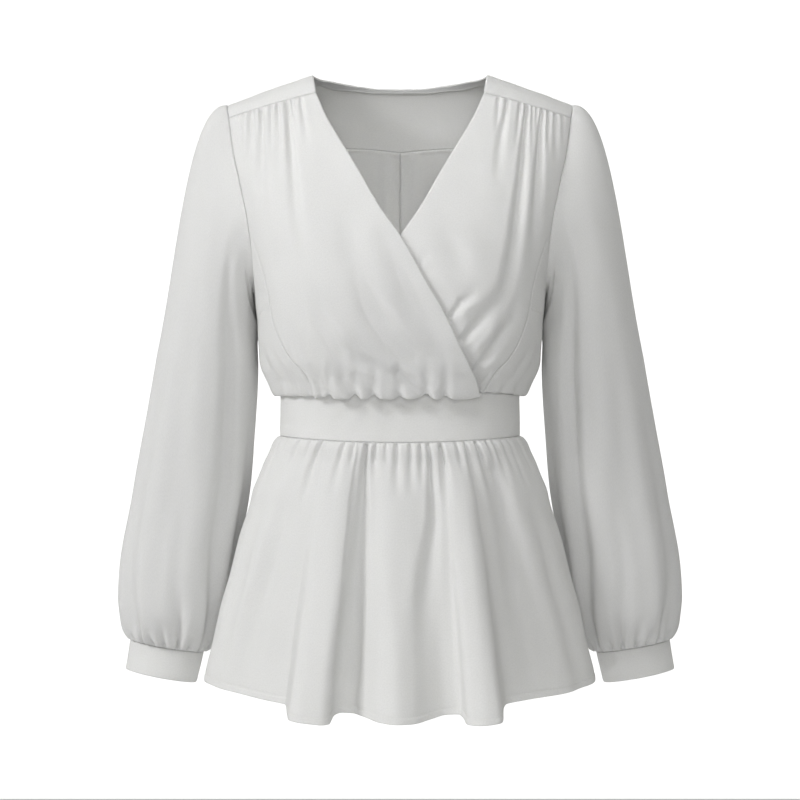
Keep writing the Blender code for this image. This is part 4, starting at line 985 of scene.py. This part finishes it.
def sleeve_places():
    """The sleeve of the wearer's right arm, with the middle of each of its rings."""
    rows = np.concatenate([
        np.linspace(0, 0.06, 10), np.linspace(0.06, 0.80, 62)[1:], np.linspace(0.80, 1, 56)[1:],
    ])
    around, along = np.meshgrid(np.linspace(0, 1, 181), rows)
    seam, seam_out = armhole_places(around)
    ring = sleeve_ring(around, np.full_like(along, CAP_END))
    arm = sleeve_ring(around, np.full_like(along, CAP_END + 0.06)) - ring
    arm /= np.linalg.norm(arm, axis=-1, keepdims=True)
    shoulder = (1 + np.cos(2 * np.pi * around)) / 2
    reach = CAP_REACH_UNDERARM + (CAP_REACH_SHOULDER - CAP_REACH_UNDERARM) * shoulder
    leave = np.stack([-reach, np.zeros_like(reach), CAP_RISE * reach * shoulder], axis=-1)
    arrive = arm * CAP_ARM_SHARE * np.linalg.norm(ring - seam, axis=-1, keepdims=True)
    t = np.clip(along / CAP_END, 0, 1)[..., None]
    cap = (1 - t) ** 3 * seam + 3 * t * (1 - t) ** 2 * (seam + leave)
    cap = cap + 3 * t**2 * (1 - t) * (ring - arrive) + t**3 * ring
    form = np.where(along[..., None] < CAP_END, cap, sleeve_ring(around, along))
    axis = np.mean(form[:, :-1], axis=1, keepdims=True)

    travelled = cloth_lengths(form)[1]
    from_cuff = travelled[-1:] - travelled
    place, down = around * SLEEVE_ROUND, along * SLEEVE_LONG
    cuff_gathers = []
    for at, length, depth in CUFF_GATHERS:
        path = ((at, 591), (at + 0.08 * (at - 186), 591 - 1.4 * length))
        cuff_gathers.append((path, (2.8, 9), (2.6 * depth, 1.5 * depth, 0.0)))
    relief = creased(place, down, SLEEVE_FOLDS) + 1.3 * soft_wander(place, down)
    relief += ease((around - 0.93) / 0.07) * (relief[:, :1] - relief[:, -1:])
    relief *= clear_of(travelled, 14) * clear_of(from_cuff, 22)
    against_body = np.exp(-((place - UNDERARM_SEAM) / 26) ** 2) * clear_of(travelled, 6)
    relief += 2.9 * against_body * (1 - ease((travelled - 32) / 26))
    relief += creased(place, down, SLEEVE_HEAD_GATHERS) * clear_of(travelled, 2.5)
    puff_above_cuff = 1.6 * np.exp(-((from_cuff - 10) / 10) ** 2)
    relief += (creased(place, down, cuff_gathers) + puff_above_cuff) * clear_of(from_cuff, 3)
    relief -= 0.7 * np.exp(-((place - UNDERARM_SEAM) / 1.3) ** 2)
    relief += seam_dip(from_cuff)
    places = form + way_out(form, axis, tube=True) * relief[..., None]
    sink = (1 - ease(travelled / SEAM_REACH))[..., None]
    places -= seam_out * SEAM_DIP * sink
    return places, axis


sleeve_form, sleeve_axis = sleeve_places()
sleeve_right = sew("sleeve_right_cloth", sleeve_form, sleeve_axis, CREPE_WALL, CREPE, tube=True)
sleeve_left = sew("sleeve_left_cloth", sleeve_form * MIRROR, sleeve_axis * MIRROR, CREPE_WALL, CREPE,
                  tube=True)
for sleeve, node in ((sleeve_right, "sleeve_right"), (sleeve_left, "sleeve_left")):
    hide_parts(node)
    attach(sleeve, "root")


# Cuffs
# A plain closed band of doubled crepe at each wrist, pressed flat, with the sleeve's gathers
# sewn into its upper edge and a row of stitching near its lower edge.

CUFF_DEPTH = 32.8
CUFF_TOP = (40.3, 32.0, 9.75)
CUFF_BOTTOM = (39.0, 31.0, 11.0)
CUFF_CREASES = (
    (((30, 4), (34, 28)), (6, 7), (0.0, 0.5, 0.0)),
    (((88, 2), (84, 30)), (6, 7), (0.5, 0.0)),
    (((150, 6), (156, 30)), (6, 7), (0.0, 0.5, 0.0)),
    (((196, 4), (190, 28)), (6, 7), (0.4, 0.0)),
)


def cuff_places():
    """The cuff of the wearer's right arm."""
    around, down = np.meshgrid(np.linspace(0, 1, 181), np.linspace(0, 1, 32))
    height, across, back, _, _, _ = (read(1.0) for read in RING)
    half_width, half_depth, tilt = (top + (bottom - top) * down for top, bottom in zip(CUFF_TOP, CUFF_BOTTOM))
    tilt = np.radians(tilt)
    out = half_width * np.cos(2 * np.pi * around)
    forward = half_depth * np.sin(2 * np.pi * around)
    below = CUFF_DEPTH * down
    form = np.stack([across - below * np.sin(tilt) - out * np.cos(tilt), back - forward,
                     height - below * np.cos(tilt) + out * np.sin(tilt)], axis=-1)
    axis = np.mean(form[:, :-1], axis=1, keepdims=True)
    relief = creased(around * 228, below, CUFF_CREASES) + seam_dip(below) * 0.5
    relief += 0.25 * np.sin(around * 2 * np.pi * 5 + 1) * down
    relief -= 0.5 * (1 - ease((CUFF_DEPTH - below) / 1.6))
    return form + way_out(form, axis, tube=True) * relief[..., None], axis


cuff_form, cuff_axis = cuff_places()
cuff_right = sew("cuff_right_cloth", cuff_form, cuff_axis, BAND_WALL, BAND_CREPE, tube=True)
cuff_left = sew("cuff_left_cloth", cuff_form * MIRROR, cuff_axis * MIRROR, BAND_WALL, BAND_CREPE, tube=True)
for cuff, node in ((cuff_right, "cuff_right"), (cuff_left, "cuff_left")):
    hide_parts(node)
    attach(cuff, "root")


# Stitching
# Rows of short thread stitches in matching polyester: along the peplum's hem, round each
# cuff's lower edge and along the neck binding, with overlocking inside the back's two seams.

THREAD_RADIUS = 0.22 * MM
STITCH_LENGTH = 2.3
STITCH_STEP = 3.1
OVERLOCK_STEP = 1.5
UNDER_CLOTH = 1.25

thread = bpy.data.materials.new("ivory_thread")
thread.use_nodes = True
thread_shader = thread.node_tree.nodes["Principled BSDF"]
thread_shader.inputs["Roughness"].default_value = 0.55
thread_place = thread.node_tree.nodes.new("ShaderNodeTexCoord")
thread_ply = thread.node_tree.nodes.new("ShaderNodeTexNoise")
thread_ply.inputs["Scale"].default_value = 2400.0
thread_tone = thread.node_tree.nodes.new("ShaderNodeMix")
thread_tone.data_type = "RGBA"
thread_tone.inputs["A"].default_value = (0.80, 0.80, 0.775, 1)
thread_tone.inputs["B"].default_value = (0.88, 0.88, 0.855, 1)
thread.node_tree.links.new(thread_place.outputs["Object"], thread_ply.inputs["Vector"])
thread.node_tree.links.new(thread_ply.outputs["Fac"], thread_tone.inputs["Factor"])
thread.node_tree.links.new(thread_tone.outputs["Result"], thread_shader.inputs["Base Color"])


def along_line(line, at, values):
    """Values given at the points of a line, read at distances along it."""
    gone = np.concatenate([[0.0], np.cumsum(np.linalg.norm(np.diff(line, axis=0), axis=1))])
    return np.stack([np.interp(at, gone, values[:, i]) for i in range(3)], axis=-1)


def stitch_row(name, line, out):
    """Lay single stitches along a line on the cloth."""
    long = np.sum(np.linalg.norm(np.diff(line, axis=0), axis=1))
    starts = np.arange(STITCH_STEP / 2, long - STITCH_LENGTH, STITCH_STEP)
    finishes = starts + STITCH_LENGTH
    return lay_stitches(name, along_line(line, starts, line), along_line(line, finishes, line),
                        along_line(line, starts, out))


def lay_stitches(name, starts, finishes, ups, proud=0.1):
    """Lay a thread stitch between each start and finish, just proud of the cloth."""
    row = bmesh.new()
    for start, finish, up in zip(starts, finishes, ups):
        way = finish - start
        stretch = np.linalg.norm(way)
        way = way / stretch
        up = up - way * (up @ way)
        up /= np.linalg.norm(up)
        middle = (start + finish) / 2 + up * proud
        stitch = bmesh.ops.create_icosphere(row, subdivisions=1, radius=1.0)["verts"]
        side = np.cross(up, way)
        for vertex in stitch:
            x, y, z = vertex.co
            along_stitch = way * x * stretch * MM / 2
            vertex.co = middle * MM + along_stitch + (side * y + up * z) * THREAD_RADIUS
    mesh = bpy.data.meshes.new(name)
    row.to_mesh(mesh)
    row.free()
    mesh.shade_smooth()
    mesh.materials.append(thread)
    piece = bpy.data.objects.new(name, mesh)
    bpy.context.scene.collection.objects.link(piece)
    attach(piece, "root")
    return piece


for half, places in peplum_halves.items():
    down = cloth_lengths(places)[1]
    rows = np.argmin(np.abs(down[-1:] - down - HEM_TURN), axis=0)
    columns = np.arange(places.shape[1])
    out = way_out(places, INSIDE_WAIST)
    stitch_row("hem_stitches_" + half, places[rows, columns], out[rows, columns])

cuff_out = way_out(cuff_form, cuff_axis, tube=True)
for side, mirror in (("right", 1.0), ("left", -1.0)):
    flip = np.array([mirror, 1.0, 1.0])
    stitch_row("cuff_stitches_" + side, cuff_form[-5] * flip, cuff_out[-5] * flip)

back_form = back_places()
back_down = cloth_lengths(back_form)[1]
back_out = way_out(back_form, INSIDE_BODY)
overlock_columns = np.arange(back_form.shape[1])
overlock_edges = []
for reach in (0.0, 4.6):
    overlock_rows = np.argmin(np.abs(back_down - reach), axis=0)
    at = (overlock_rows, overlock_columns)
    overlock_edges.append(back_form[at] - UNDER_CLOTH * back_out[at])
overlock_way = -back_out[3]
overlock_long = np.sum(np.linalg.norm(np.diff(overlock_edges[0], axis=0), axis=1))
overlock_at = np.arange(1.0, overlock_long - 1.5, OVERLOCK_STEP)
for side, mirror in (("right", 1.0), ("left", -1.0)):
    flip = np.array([mirror, 1.0, 1.0])
    upper, lower, way = (along_line(overlock_edges[0], overlock_at, line) * flip
                         for line in (overlock_edges[0], overlock_edges[1], overlock_way))
    lay_stitches("overlock_stitches_" + side, upper, lower, way)
centre_line = back_form[:, 0] - UNDER_CLOTH * back_out[:, 1]
centre_way = -back_out[:, 1]
centre_at = np.arange(6.0, 236.0, OVERLOCK_STEP)
centre = along_line(centre_line, centre_at, centre_line)
half_overlock = np.array([2.1, 0.0, 0.0])
lay_stitches("overlock_stitches_centre", centre - half_overlock, centre + half_overlock,
             along_line(centre_line, centre_at, centre_way))

binding_line = binding_places[:, -2]
binding_way = -way_out(binding_places, INSIDE_BODY)[:, -2]
stitch_row("binding_stitches", binding_line + binding_way * BINDING_WALL / MM, binding_way)


# Room
# A pale studio sweep under an even sky, with a large soft light from the upper left, weaker
# ones from above and the front, and a narrow faint one that reaches in at the neck.

sweep_mesh = bmesh.new()
bmesh.ops.create_grid(sweep_mesh, x_segments=1, y_segments=24, size=1.0)
for vertex in sweep_mesh.verts:
    travel = (vertex.co.y + 1) * 3.5
    back = min(travel - 3.5, 2.0)
    bend = np.clip((travel - 5.5) / 1.2, 0, 1)
    vertex.co = (vertex.co.x * 6.0, 0.2 + back + 1.5 * np.sin(bend * np.pi / 2),
                 -1.35 + 1.5 * (1 - np.cos(bend * np.pi / 2)) + max(travel - 6.7, 0) * 8)
mesh = bpy.data.meshes.new("sweep")
bmesh.ops.recalc_face_normals(sweep_mesh, faces=sweep_mesh.faces[:])
sweep_mesh.to_mesh(mesh)
sweep_mesh.free()
mesh.shade_smooth()
sweep = bpy.data.objects.new("sweep", mesh)
bpy.context.scene.collection.objects.link(sweep)
for name, glow in (("floor_paper", 0.0), ("wall_paper", 0.75)):
    paper = bpy.data.materials.new(name)
    paper.use_nodes = True
    paper_shader = paper.node_tree.nodes["Principled BSDF"]
    paper_shader.inputs["Base Color"].default_value = (0.80, 0.80, 0.80, 1)
    paper_shader.inputs["Roughness"].default_value = 0.9
    paper_shader.inputs["Emission Color"].default_value = (1, 1, 1, 1)
    paper_shader.inputs["Emission Strength"].default_value = glow
    mesh.materials.append(paper)
for face in mesh.polygons:
    face.material_index = int(face.center.z > -1.2)

world = bpy.data.worlds.new("studio")
world.use_nodes = True
world.node_tree.nodes["Background"].inputs["Color"].default_value = (1.0, 1.0, 0.955, 1)
world.node_tree.nodes["Background"].inputs["Strength"].default_value = 0.25
bpy.context.scene.world = world


def soft_light(name, place, aim, size, power):
    """A large square light that faces a point."""
    light = bpy.data.lights.new(name, "AREA")
    light.shape = "SQUARE"
    light.size = size
    light.energy = power
    lamp = bpy.data.objects.new(name, light)
    bpy.context.scene.collection.objects.link(lamp)
    way = np.array(aim) - np.array(place)
    flat = np.hypot(way[0], way[1])
    lamp.location = place
    lamp.rotation_euler = (np.arctan2(flat, -way[2]), 0, np.arctan2(-way[0], way[1]))
    return lamp


soft_light("key", (-2.9, -1.9, 1.5), (0, 0, -0.3), 1.1, 68)
soft_light("top", (0.2, -1.7, 2.3), (0, 0, -0.1), 1.3, 20)
neck_light = soft_light("neck", (0.0, -1.0, 0.62), (0.0, 0.08, -0.10), 0.3, 0.035)
neck_light.data.spread = np.radians(16)
soft_light("front", (0.0, -3.2, 0.3), (0, 0, -0.1), 1.2, 20)

camera_lens = bpy.data.cameras.new("camera")
camera_lens.lens = 110.38
camera_lens.sensor_width = 36.0
camera_lens.clip_end = 50.0
camera = bpy.data.objects.new("camera", camera_lens)
camera.location = (0.0, -2.6, -0.3265)
camera.rotation_euler = (np.pi / 2, 0.0, 0.0)
bpy.context.scene.collection.objects.link(camera)
bpy.context.scene.camera = camera
bpy.context.scene.view_settings.view_transform = "Standard"
